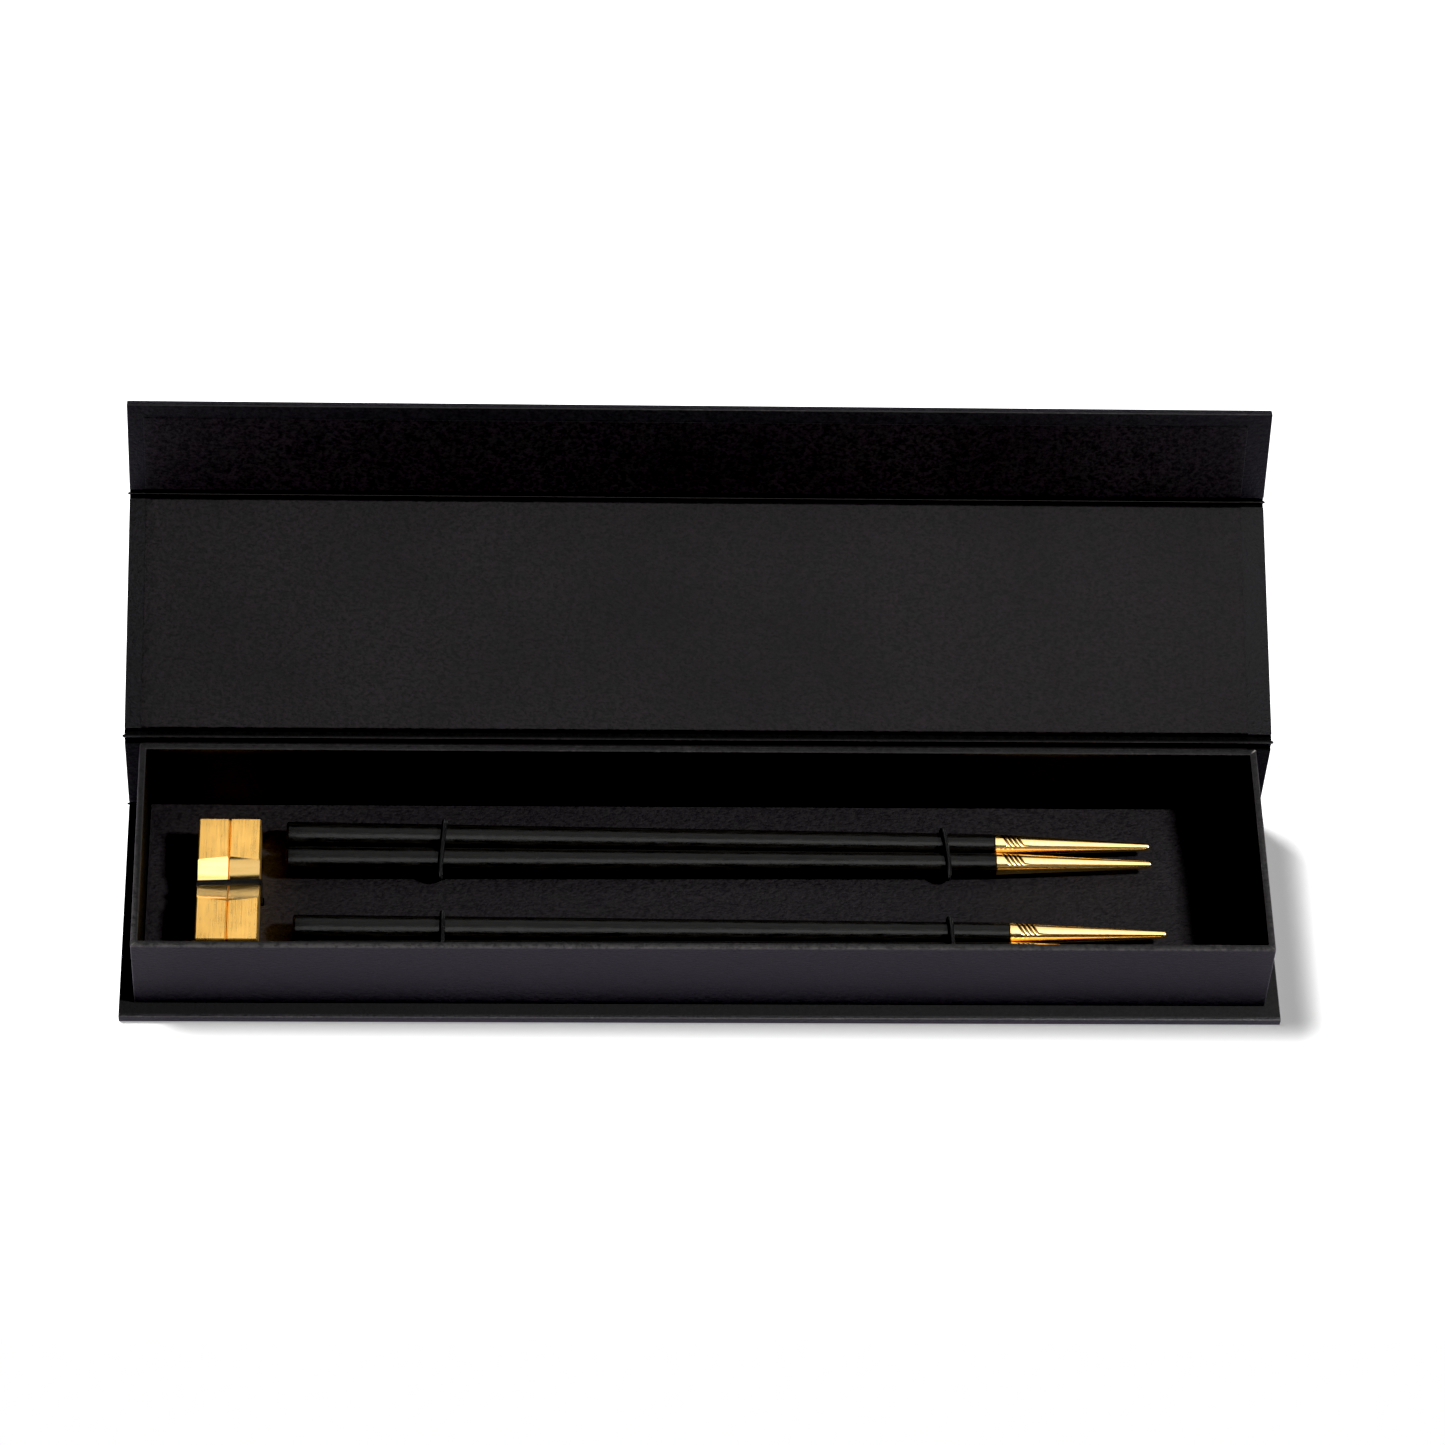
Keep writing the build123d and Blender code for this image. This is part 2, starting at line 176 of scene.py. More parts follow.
LINER_T = 0.2 * MM
LINER_INSET = 4.0 * MM     # at the flap's free edge
LINER_LEFT, LINER_RIGHT = 4.3 * MM, 6.3 * MM
HINGE_HALF_GAP = 1.8 * MM
EDGE_R = 0.33 * MM         # rounding of every covered edge
TRAY_WALL = 1.8 * MM
TRAY_FLOOR = 1.5 * MM
RIM_DROP = 1.9 * MM        # how much lower the tray's rim is at its front wall than at the back
RIDGE_R = 0.4 * MM         # fold line pressed into each hinge
RIDGE_HALF_W = 0.27 * MM
RIDGE_H = 0.85 * MM        # from the folds to the top of the ridge
HINGE_OVERHANG = 0.58 * MM

# chopsticks
BUTT_R, JOIN_R, POINT_R = 3.85 * MM, 2.95 * MM, 0.95 * MM
TIP_L = 42.0 * MM
CORD_R = 0.74 * MM
CORD_SLACK = 0.1 * MM
CORD_WRAP = math.radians(45)
CORD_TURN = 1.1 * MM       # where a loop turns under the card
# rests
REST_EDGE = 0.35 * MM
SADDLE_EDGE = 0.14 * MM
SADDLE_R, SADDLE_DEPTH = 12.75 * MM, 1.85 * MM
SADDLE_TILT = math.radians(4.4)

lid_along = (FLAP_AXIS - LID_AXIS).normalized()
lid_inner = X_AXIS.cross(lid_along)
flap_along = Matrix.Rotation(FLAP_FOLD, 3, "X") @ lid_along
flap_inner = X_AXIS.cross(flap_along)
SPINE_Y = (spine_low.y + spine_high.y) / 2
# panel: (point on its mid-plane, direction away from its lower hinge, normal of its lined face)
PANELS = {
    "base": (Vector((0, 0, PANEL_T / 2)), Vector((0, 1, 0)), Vector((0, 0, 1))),
    "spine": (Vector((0, SPINE_Y, 0)), Vector((0, 0, 1)), Vector((0, -1, 0))),
    "lid": (LID_AXIS, lid_along, lid_inner),
    "flap": (FLAP_AXIS, flap_along, flap_inner),
}


# ==== Mesh helpers ====
def new_piece(name, verts, faces, sharp=math.radians(35)):
    """An object from plain lists, smooth except over sharp edges."""
    mesh = bpy.data.meshes.new(name)
    mesh.from_pydata([tuple(v) for v in verts], [], faces)
    mesh.validate()
    check = bmesh.new()
    check.from_mesh(mesh)
    bmesh.ops.recalc_face_normals(check, faces=check.faces)
    check.to_mesh(mesh)
    check.free()
    mesh.shade_smooth()
    mesh.set_sharp_from_angle(angle=sharp)
    piece = bpy.data.objects.new(name, mesh)
    bpy.context.scene.collection.objects.link(piece)
    return piece


def join_lists(parts):
    """One (verts, faces) pair from several."""
    verts, faces = [], []
    for part_verts, part_faces in parts:
        start = len(verts)
        verts += list(part_verts)
        faces += [tuple(i + start for i in face) for face in part_faces]
    return verts, faces


def loft(rings, capped=True, closed=False):
    """Quads between rings of equal length, each ring a closed loop of points."""
    count = len(rings[0])
    verts = [point for ring in rings for point in ring]
    faces = []
    steps = len(rings) if closed else len(rings) - 1
    for i in range(steps):
        a, b = i * count, (i + 1) % len(rings) * count
        for j in range(count):
            k = (j + 1) % count
            faces.append((a + j, a + k, b + k, b + j))
    if capped and not closed:
        faces.append(tuple(range(count)))
        faces.append(tuple(range((len(rings) - 1) * count, len(rings) * count)))
    return verts, faces


def spaced(start, stop, step):
    """Even steps from start up to, but not including, stop."""
    count = max(1, math.ceil((stop - start) / step))
    return [start + (stop - start) * i / count for i in range(count)]


def set_float(piece, name, values):
    """Stores one number per vertex for the materials to read."""
    attribute = piece.data.attributes.new(name, "FLOAT", "POINT")
    attribute.data.foreach_set("value", np.asarray(values, np.float32))


def frame_matrix(origin, along, inner):
    """Maps (x, distance along, height) to the row frame."""
    matrix = Matrix.Identity(4)
    for column, axis in enumerate((X_AXIS, along, inner)):
        for row in range(3):
            matrix[row][column] = axis[row]
    matrix.translation = origin
    return matrix


def reach(node, origin, direction):
    """Nearest and furthest distance of a CAD node from a point, along a direction."""
    run = [(v.co - origin).dot(direction) for v in frame["nodes"][node].data.vertices]
    return min(run), max(run)


# ==== Materials ====
def make_material(name):
    """A material with a Principled shader, its node tree and a node maker."""
    material = bpy.data.materials.new(name)
    material.use_nodes = True
    tree = material.node_tree
    shader = tree.nodes["Principled BSDF"]

    def node(kind, values=None, **settings):
        made = tree.nodes.new(kind)
        for key, value in settings.items():
            setattr(made, key, value)
        for key, value in (values or {}).items():
            if isinstance(value, bpy.types.NodeSocket):
                tree.links.new(value, made.inputs[key])
            else:
                made.inputs[key].default_value = value
        return made

    return material, shader, tree, node


def stretched(node, scale):
    """Object coordinates, scaled per axis."""
    where = node("ShaderNodeTexCoord")
    return node("ShaderNodeMapping", {"Vector": where.outputs["Object"], "Scale": scale}).outputs[0]


def noise_value(node, vector, scale, detail=3.0, rough=0.55):
    values = {"Vector": vector, "Scale": scale, "Detail": detail, "Roughness": rough}
    made = node("ShaderNodeTexNoise", values)
    return made.outputs["Fac"]


def spread(node, value, low, high, to_low, to_high):
    """A value stretched from one range to another, and clamped."""
    values = {"Value": value, "From Min": low, "From Max": high, "To Min": to_low, "To Max": to_high}
    made = node("ShaderNodeMapRange", values)
    return made.outputs["Result"]


def math_node(node, operation, a, b):
    return node("ShaderNodeMath", {0: a, 1: b}, operation=operation).outputs[0]


def mix_color(node, factor, a, b):
    made = node("ShaderNodeMix", {"Factor": factor}, data_type="RGBA")
    for key, value in ((6, a), (7, b)):
        if isinstance(value, bpy.types.NodeSocket):
            made.id_data.links.new(value, made.inputs[key])
        else:
            made.inputs[key].default_value = (*value, 1)
    return made.outputs[2]


BARE_PULP = (0.6, 0.57, 0.55)     # board showing where a corner has lost its paper
# how much of it shows on the rim: front right, back right, back left, front left
RUBBED = (0.08, 0.02, 0.02, 0.15)


def paper_material(name, dark, light, roughness, specular, hue_shift, wear_and_highlight_color=(0.09, 0.085, 0.085)):
    """Matte dyed paper: mottled colour, fine fibres, pale edges that are partly worn paper and partly a painted
    highlight line, and painted shade, near black, where marked.
    """
    material, shader, tree, node = make_material(name)
    even = stretched(node, (1, 1, 1))
    fibres = stretched(node, (0.6, 1, 1))
    mottle = noise_value(node, even, 800, 5.0, 0.7)
    fine = noise_value(node, fibres, 1500, 4.0, 0.65)
    blotch = noise_value(node, even, 24, 2.0)
    half_mottle = math_node(node, "MULTIPLY", mottle, 0.5)
    tone = math_node(node, "ADD", half_mottle, math_node(node, "MULTIPLY", fine, 0.5))
    greener = (light[0] * (1 - hue_shift), light[1] * (1 + hue_shift / 4), light[2] * (1 - hue_shift))
    hue = noise_value(node, even, 230, 3.0)
    pale = mix_color(node, spread(node, hue, 0.4, 0.6, 0.0, 1.0), light, greener)
    color = mix_color(node, spread(node, tone, 0.43, 0.57, 0.0, 1.0), dark, pale)
    color = mix_color(node, spread(node, blotch, 0.4, 0.7, 0.0, 0.35), color, dark)
    # pale edge paint: patchy scuffs of real wear
    wear = node("ShaderNodeAttribute", attribute_name="wear").outputs["Fac"]
    scuff = noise_value(node, even, 700, 5.0, 0.7)
    patch = noise_value(node, even, 45, 2.0)
    wear_and_highlight_amount = math_node(node, "MULTIPLY", wear, spread(node, scuff, 0.44, 0.62, 0.0, 1.0))
    wear_and_highlight_amount = math_node(node, "MULTIPLY", wear_and_highlight_amount, spread(node, patch, 0.35, 0.65, 0.15, 1.0))
    # an even floor of 0.3 gives a continuous pale line along every marked edge: a painted highlight
    wear_and_highlight_amount = math_node(node, "MAXIMUM", wear_and_highlight_amount, math_node(node, "MULTIPLY", wear, 0.3))
    color = mix_color(node, wear_and_highlight_amount, color, wear_and_highlight_color)
    bare = node("ShaderNodeAttribute", attribute_name="bare").outputs["Fac"]
    torn = math_node(node, "MULTIPLY", bare, spread(node, scuff, 0.4, 0.52, 0.2, 1.0))
    color = mix_color(node, torn, color, BARE_PULP)
    # painted shade: near-black colour and rougher paper where the shade attribute marks hinge folds, sheltered inner
    # faces and the tray's inner walls
    crease = node("ShaderNodeAttribute", attribute_name="crease").outputs["Fac"]
    color = mix_color(node, crease, color, (0.0004, 0.0004, 0.0004))
    tree.links.new(color, shader.inputs["Base Color"])
    rough = spread(node, tone, 0.35, 0.65, roughness - 0.11, roughness + 0.11)
    rough = math_node(node, "ADD", rough, math_node(node, "MULTIPLY", crease, 0.4))
    tree.links.new(rough, shader.inputs["Roughness"])
    shader.inputs["Specular IOR Level"].default_value = specular
    height = math_node(node, "ADD", half_mottle, fine)
    bump = node("ShaderNodeBump", {"Strength": 0.65, "Distance": 0.0004, "Height": height})
    tree.links.new(bump.outputs[0], shader.inputs["Normal"])
    return material


def board_material(name, dark, light):
    """Bare greyboard or tape: speckled pulp."""
    material, shader, tree, node = make_material(name)
    even = stretched(node, (1, 1, 1))
    pulp = noise_value(node, even, 900, 5.0, 0.7)
    color = mix_color(node, spread(node, pulp, 0.4, 0.6, 0.0, 1.0), dark, light)
    tree.links.new(color, shader.inputs["Base Color"])
    shader.inputs["Roughness"].default_value = 0.9
    bump = node("ShaderNodeBump", {"Strength": 0.4, "Distance": 0.00005, "Height": pulp})
    tree.links.new(bump.outputs[0], shader.inputs["Normal"])
    return material


def metal_material(name, color, deep, roughness, brush, brush_scale, bump_strength):
    """Metal with fine lengthwise or crosswise polishing marks, and painted shade, dark brown, in grooves."""
    material, shader, tree, node = make_material(name)
    shader.inputs["Metallic"].default_value = 1.0
    lines = noise_value(node, stretched(node, brush), brush_scale, 3.0, 0.6)
    smudge = noise_value(node, stretched(node, (1, 1, 1)), 160, 3.0)
    tint = mix_color(node, spread(node, lines, 0.35, 0.65, 0.0, 1.0), color, deep)
    # painted shade: where the groove depth attribute marks a groove, the colour goes dark brown
    cut = node("ShaderNodeAttribute", attribute_name="cut").outputs["Fac"]
    tint = mix_color(node, cut, tint, (0.04, 0.018, 0.006))
    tree.links.new(tint, shader.inputs["Base Color"])
    marks = math_node(node, "MULTIPLY", lines, 0.6)
    level = math_node(node, "ADD", marks, math_node(node, "MULTIPLY", smudge, 0.4))
    rough = spread(node, level, 0.35, 0.65, roughness * 0.8, roughness * 1.25)
    tree.links.new(rough, shader.inputs["Roughness"])
    bump = node("ShaderNodeBump", {"Strength": bump_strength, "Distance": 0.00002, "Height": lines})
    tree.links.new(bump.outputs[0], shader.inputs["Normal"])
    return material


def handle_material():
    """Black stained wood under satin lacquer: faint lengthwise grain."""
    material, shader, tree, node = make_material("black_handle")
    grain = noise_value(node, stretched(node, (0.08, 1, 1)), 2400, 4.0, 0.65)
    mottle = noise_value(node, stretched(node, (0.45, 1, 1)), 700, 4.0, 0.7)
    streaks = spread(node, grain, 0.35, 0.65, 0.0, 1.0)
    color = mix_color(node, streaks, (0.0015, 0.0015, 0.0015), (0.005, 0.0046, 0.0042))
    tree.links.new(color, shader.inputs["Base Color"])
    faint = math_node(node, "MULTIPLY", grain, 0.4)
    level = math_node(node, "ADD", faint, math_node(node, "MULTIPLY", mottle, 0.6))
    tree.links.new(spread(node, level, 0.38, 0.62, 0.13, 0.3), shader.inputs["Roughness"])
    shader.inputs["Specular IOR Level"].default_value = 0.22
    bump = node("ShaderNodeBump", {"Strength": 0.8, "Distance": 0.00012, "Height": level})
    tree.links.new(bump.outputs[0], shader.inputs["Normal"])
    return material


def elastic_material():
    """Black woven elastic: a fine braid round the cord, from its UVs."""
    material, shader, tree, node = make_material("elastic")
    uv = node("ShaderNodeUVMap").outputs[0]
    braids = []
    for turn in (1, -1):
        slope = node("ShaderNodeMapping", {"Vector": uv, "Rotation": (0, 0, turn * 0.9)}).outputs[0]
        wave = node("ShaderNodeTexWave", {"Vector": slope, "Scale": 3.2, "Distortion": 0.4})
        braids.append(wave.outputs["Fac"])
    height = math_node(node, "MAXIMUM", *braids)
    color = mix_color(node, height, (0.0005, 0.0005, 0.0005), (0.004, 0.004, 0.0043))
    tree.links.new(color, shader.inputs["Base Color"])
    shader.inputs["Roughness"].default_value = 0.38
    shader.inputs["Specular IOR Level"].default_value = 0.2
    bump = node("ShaderNodeBump", {"Strength": 1.0, "Distance": 0.00016, "Height": height})
    tree.links.new(bump.outputs[0], shader.inputs["Normal"])
    return material


cover_paper = paper_material(
    "cover_paper", (0.0030, 0.0028, 0.0040), (0.0160, 0.0138, 0.0182), 0.5, 0.26, 0.14,
)
liner_paper = paper_material(
    "liner_paper", (0.0012, 0.0009, 0.0013), (0.0255, 0.0188, 0.0245), 0.5, 0.23, 0.16,
)
insert_paper = paper_material(
    "insert_card", (0.0032, 0.0026, 0.0034), (0.0104, 0.0084, 0.0104), 0.6, 0.14, 0.1,
)
greyboard = board_material("greyboard", (0.26, 0.24, 0.22), (0.42, 0.4, 0.37))
kraft_tape = board_material("kraft_tape", (0.36, 0.25, 0.15), (0.5, 0.37, 0.23))
steel = metal_material("magnet_steel", (0.6, 0.6, 0.61), (0.5, 0.5, 0.51), 0.3, (1, 1, 1), 900, 0.2)
gold_brushed = metal_material(
    "rest_gold", (1.0, 0.6, 0.165), (0.97, 0.55, 0.13), 0.29, (1, 0.03, 1), 3200, 0.4,
)
gold_polished = metal_material(
    "saddle_gold", (1.0, 0.66, 0.24), (0.97, 0.61, 0.2), 0.13, (0.05, 1, 1), 900, 0.1,
)
gold_tip = metal_material("tip_gold", (0.95, 0.67, 0.29), (0.9, 0.6, 0.22), 0.2, (1, 0.15, 0.15), 2600, 0.07)
black_handle = handle_material()
elastic = elastic_material()


def finish_piece(piece, material, slot, body, replaced=()):
    """Gives a new piece its material, slot, body and the CAD nodes it stands for."""
    if material.name not in [m.name for m in piece.data.materials if m]:
        piece.data.materials.append(material)
    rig.slot(piece, slot)
    if replaced:
        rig.replaces(piece, *replaced)
    if body:
        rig.ride(piece, body)
    return piece


# ==== Covered panels ====
def rounded_block(low, high, matrix, cuts=()):
    """(verts, faces, edge paint) of a box with rounded edges, in a panel's own frame. The edge paint
    is 1 along the middle of each rounded edge: worn paper there, and a painted highlight line."""
    block = bmesh.new()
    bmesh.ops.create_cube(block, size=1.0)
    size, centre = high - low, (high + low) / 2
    for vert in block.verts:
        vert.co = Vector(vert.co[i] * size[i] for i in range(3)) + centre
    bmesh.ops.bevel(block, geom=block.edges[:], offset=EDGE_R, segments=4, profile=0.5, affect="EDGES")
    for cut in cuts:
        geom = block.verts[:] + block.edges[:] + block.faces[:]
        bmesh.ops.bisect_plane(block, geom=geom, plane_co=(0, cut, 0), plane_no=(0, 1, 0))
    block.verts.index_update()
    wear = []
    for vert in block.verts:
        depth = [size[i] / 2 - abs(vert.co[i] - centre[i]) for i in range(3)]
        wear.append(1.0 if sum(d < 0.8 * EDGE_R for d in depth) > 1 else 0.0)
    verts = [matrix @ vert.co for vert in block.verts]
    faces = [tuple(vert.index for vert in face.verts) for face in block.faces]
    block.free()
    return verts, faces, wear


def make_panel(name, body, painted_shade_from=None):
    """A board wrapped in paper, with the paper's turned-in border on its inner face. That face gets
    painted shade, near black, past the given distance from the panel's near edge."""
    origin, along, inner = PANELS[name]
    near, far = reach(f"{name}_wrap", origin, along)
    matrix = frame_matrix(origin, along, inner)
    low = Vector((-CASE_HALF_W, near, -PANEL_T / 2))
    high = Vector((CASE_HALF_W, far, PANEL_T / 2))
    cuts = [] if painted_shade_from is None else [near + painted_shade_from, near + painted_shade_from + PAINTED_SHADE_FADE]
    verts, faces, wear = rounded_block(low, high, matrix, cuts)
    piece = new_piece(f"{name}_cover", verts, faces)
    set_float(piece, "wear", wear)
    if cuts:
        local = [matrix.inverted() @ vert for vert in verts]
        inside = CASE_HALF_W - EDGE_R / 2
        in_painted_shade = [v.z > 0 and v.y > cuts[1] - 0.01 * MM and abs(v.x) < inside for v in local]
        # painted shade, near black, on the inner face past that distance
        set_float(piece, "crease", [0.92 if dark else 0.0 for dark in in_painted_shade])
    return finish_piece(piece, cover_paper, "cover_paper", body, [f"{name}_wrap"])


# how far the painted shade takes to fade in
PAINTED_SHADE_FADE = 0.7 * MM
# the inner faces of base and spine get painted shade past 0.5 mm from their near edges
make_panel("base", "case", 0.5 * MM)
make_panel("spine", "case", 0.5 * MM)
make_panel("lid", "lid")
make_panel("flap", "flap")


# ==== Hinges and liners ====
def smooth(t):
    t = max(0.0, min(1.0, t))
    return t * t * (3 - 2 * t)


def bent(origin, along, inner, angle, near, far):
    """A function from (x, s, n), on two panels laid flat, to the row frame with the second
    panel turned by an angle about the hinge axis. The turn happens between the panels."""
    matrix = frame_matrix(origin, along, inner)

    def place(x, s, n):
        turn = Matrix.Rotation(angle * smooth((s + near) / (near + far)), 4, "X")
        return Matrix.Translation(origin) @ turn @ Matrix.Translation(-origin) @ matrix @ Vector((x, s, n))

    return place


def wobble(x, seed, size):
    """A slow, even unevenness along the box."""
    return size * noise.noise(Vector((x * 45, seed, 0.3)))


def x_stations(half, step):
    """Evenly spaced places along X, from end to end."""
    count = max(2, round(2 * half / step))
    return [-half + 2 * half * i / count for i in range(count + 1)]


def groove_floor(s, near, far, seed, x):
    """Height of the paper's inner face between two boards: a flat floor with a ridge."""
    ridge = RIDGE_H + wobble(x, seed, 0.12 * MM)
    return 0.05 * MM + ridge * math.exp(-((s / RIDGE_HALF_W) ** 2))


def fold_shade(s, near, far):
    """How much painted shade a place across a hinge gets: 1 in the two folds beside the ridge."""
    gap = near if s < 0 else far
    off_ridge = 1 - math.exp(-((s / (0.8 * RIDGE_HALF_W)) ** 2))
    return smooth((gap + 0.2 * MM - abs(s)) / (0.5 * MM)) * off_ridge


def ridge_shine(s, amount):
    """Painted highlight along the top of a hinge's ridge, carried in the edge paint."""
    return amount * math.exp(-((s / (0.95 * RIDGE_HALF_W)) ** 2))


def hinge_cover(name, place, near, far, seed, shine):
    """The covering paper across a hinge: its inner face has a pressed ridge, and its outer
    face dips between the two boards."""
    tuck = 0.5 * MM
    inner_s = [-near - tuck + (near + far + 2 * tuck) * i / 60 for i in range(61)]
    rings, crease, wear = [], [], []
    for x in x_stations(CASE_HALF_W, 3 * MM):
        ring = [place(x, s, groove_floor(s, near, far, seed, x)) for s in inner_s]
        # painted shade in the two folds beside the ridge, painted highlight along the ridge's top, and light edge
        # paint on the outer face
        crease += [fold_shade(s, near, far) for s in inner_s] + [0.0] * len(inner_s)
        wear += [ridge_shine(s, shine) for s in inner_s] + [0.25] * len(inner_s)
        for s in reversed(inner_s):
            edge = smooth(1 - (abs(s) - (near if s < 0 else far) + 1.3 * MM) / (1.5 * MM))
            dip = 0.5 * MM * edge
            ring.append(place(x, s, -PANEL_T / 2 + 0.004 * MM + dip))
        rings.append(ring)
    verts, faces = loft(rings)
    # the ridge's pinched ends stand a little out of the case's sides
    knobs = []
    for side in (-1, 1):
        knob = []
        for i in range(5):
            lift = math.pi / 2 * i / 5
            radius = RIDGE_R * math.cos(lift)
            x = side * (CASE_HALF_W + HINGE_OVERHANG * math.sin(lift))
            centre = 0.22 * MM
            turns = [2 * math.pi * k / 16 for k in range(16)]
            knob.append([place(x, radius * math.cos(t), centre + radius * math.sin(t)) for t in turns])
        knobs.append(loft(knob))
    verts, faces = join_lists([(verts, faces), *knobs])
    piece = new_piece(name, verts, faces, math.radians(50))
    set_float(piece, "crease", crease + [0.0] * (len(verts) - len(crease)))
    set_float(piece, "wear", wear + [0.5] * (len(verts) - len(wear)))
    return piece


def liner_sheet(name, place, stations, height, from_hinge):
    """A thin closed sheet of liner paper that follows a height over two panels."""
    rings, wear, crease = [], [], []
    left, right = -CASE_HALF_W + LINER_LEFT, CASE_HALF_W - LINER_RIGHT
    # dense at both ends, so that the sheet's edges are rounded over
    inner = spaced(left + 0.35 * MM, right - 0.35 * MM, 2.5 * MM) + [right - 0.35 * MM]
    xs = [left, left + 0.05 * MM, *inner, right - 0.05 * MM, right]
    for x in xs:
        from_edge = min(x - left, right - x)
        drop = LINER_T if from_edge < 0.01 * MM else (0.06 * MM if from_edge < 0.1 * MM else 0.0)
        ring = [place(x, s, height(s, x) - drop) for s in stations]
        ring += [place(x, s, height(s, x) - 1.4 * LINER_T) for s in reversed(stations)]
        rings.append(ring)
        # pale edge paint along the sheet's side edges, painted highlight on the hinge ridges and painted shade in the
        # folds beside them
        edge = 0.7 if from_edge < 0.02 * MM else 0.0
        shine = [max(edge, ridge_shine(*from_hinge(s))) for s in stations]
        wear += shine + shine[::-1]
        fold_shades = [fold_shade(from_hinge(s)[0], gap, gap) for s in stations]
        crease += fold_shades + fold_shades[::-1]
    verts, faces = loft(rings)
    piece = new_piece(name, verts, faces, math.radians(50))
    set_float(piece, "wear", wear)
    set_float(piece, "crease", crease)
    return piece


def over_edges(s, x, near, far, seed):
    """Height of the liner: on top of both panels, and down into the hinge between them."""
    top = PANEL_T / 2 + LINER_T
    floor = groove_floor(s, near, far, seed, x) + LINER_T * 0.8
    gap = near if s < 0 else far
    rise = smooth((abs(s) - gap + 0.55 * MM) / (0.95 * MM))
    return floor + (top - floor) * rise


LINER_JOIN = 1.7 * MM      # along the lid, where its two liner sheets meet, down in the hinge
LINER_TUCK = 0.9 * MM      # how far the lower sheet runs on under the upper one
flap_far = reach("flap_wrap", FLAP_AXIS, flap_along)[1]
lid_length = (FLAP_AXIS - LID_AXIS).length

gap = HINGE_HALF_GAP
spine_hinge_turn = -(math.pi / 2 - math.atan2(lid_along.z, lid_along.y))
hinges = {
    "spine_lid": (
        bent(LID_AXIS, Vector((0, 0, 1)), Vector((0, -1, 0)), spine_hinge_turn, gap, gap),
        gap,
        gap,
    ),
    "lid_flap": (bent(FLAP_AXIS, lid_along, lid_inner, FLAP_FOLD, gap, gap), gap, gap),
}
base_gap = SPINE_Y - base_high.y
spine_gap = spine_low.z - PANEL_T / 2
hinges["base_spine"] = (
    bent(
        Vector((0, SPINE_Y, PANEL_T / 2)),
        Vector((0, 1, 0)),
        Vector((0, 0, 1)),
        math.pi / 2,
        base_gap,
        spine_gap,
    ),
    base_gap,
    spine_gap,
)
# strength of the painted highlight along each hinge's ridge
SHINE = {"spine_lid": 0.5, "lid_flap": 3.2, "base_spine": 0.3}
for seed, (hinge, (place, near, far)) in enumerate(hinges.items()):
    cover = hinge_cover(f"{hinge}_hinge_cover", place, near, far, seed, SHINE[hinge])
    crossing = {"spine_lid": ("case", "lid"), "lid_flap": ("lid", "flap")}.get(hinge)
    finish_piece(cover, cover_paper, "cover_paper", None if crossing else "case", [f"{hinge}_hinge"])
    if crossing:
        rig.blend(cover, *crossing, start=place(0, -near, 0), end=place(0, far, 0))

place, near, far = hinges["spine_lid"]
spine_low_s, _ = reach("spine_liner", LID_AXIS, Vector((0, 0, 1)))
stations = spaced(spine_low_s, -2.6 * MM, 2.5 * MM) + spaced(-2.6 * MM, LINER_JOIN + LINER_TUCK, 0.07 * MM)


def lower_height(s, x):
    """The lower sheet runs under the upper one past the join."""
    return over_edges(s, x, gap, gap, 0) - LINER_T * smooth((s - LINER_JOIN + 0.3 * MM) / (0.3 * MM))


lower_liner = liner_sheet(
    "spine_liner_sheet", place, stations, lower_height, lambda s: (s, SHINE["spine_lid"])
)
finish_piece(lower_liner, liner_paper, "liner_paper", None, ["spine_liner"])
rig.blend(lower_liner, "case", "lid", start=place(0, -near, 0), end=place(0, far, 0))

place, near, far = hinges["lid_flap"]
stations = spaced(LINER_JOIN - lid_length, 2.6 * MM - lid_length, 0.07 * MM)
stations += spaced(2.6 * MM - lid_length, -2.6 * MM, 2.5 * MM) + spaced(-2.6 * MM, 2.6 * MM, 0.07 * MM)
stations += spaced(2.6 * MM, flap_far - LINER_INSET, 2.5 * MM) + [flap_far - LINER_INSET]


def upper_height(s, x):
    """The upper sheet follows both of the lid's hinges."""
    if s < -lid_length / 2:
        return over_edges(s + lid_length, x, gap, gap, 0)
    return over_edges(s, x, gap, gap, 1)


def upper_from_hinge(s):
    """Distance from the nearer of the lid's two hinges, and that hinge's shine."""
    return (s + lid_length, SHINE["spine_lid"]) if s < -lid_length / 2 else (s, SHINE["lid_flap"])


upper_liner = liner_sheet("lid_liner_sheet", place, stations, upper_height, upper_from_hinge)
finish_piece(upper_liner, liner_paper, "liner_paper", None, ["lid_liner", "flap_liner"])
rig.blend(upper_liner, "lid", "flap", start=place(0, -near, 0), end=place(0, far, 0))


# ==== Tray ====
def rounded_rectangle(half_w, half_d, radius, z, centre_y, corner_steps=6):
    """Corner-rounded rectangle at a height, counter-clockwise from its front right."""
    points = []
    for turn, (sx, sy) in enumerate(((1, -1), (1, 1), (-1, 1), (-1, -1))):
        cx, cy = sx * (half_w - radius), centre_y + sy * (half_d - radius)
        start = -math.pi / 2 + turn * math.pi / 2
        for i in range(corner_steps + 1):
            angle = start + math.pi / 2 * i / corner_steps
            points.append(Vector((cx + radius * math.cos(angle), cy + radius * math.sin(angle), z)))
    return points


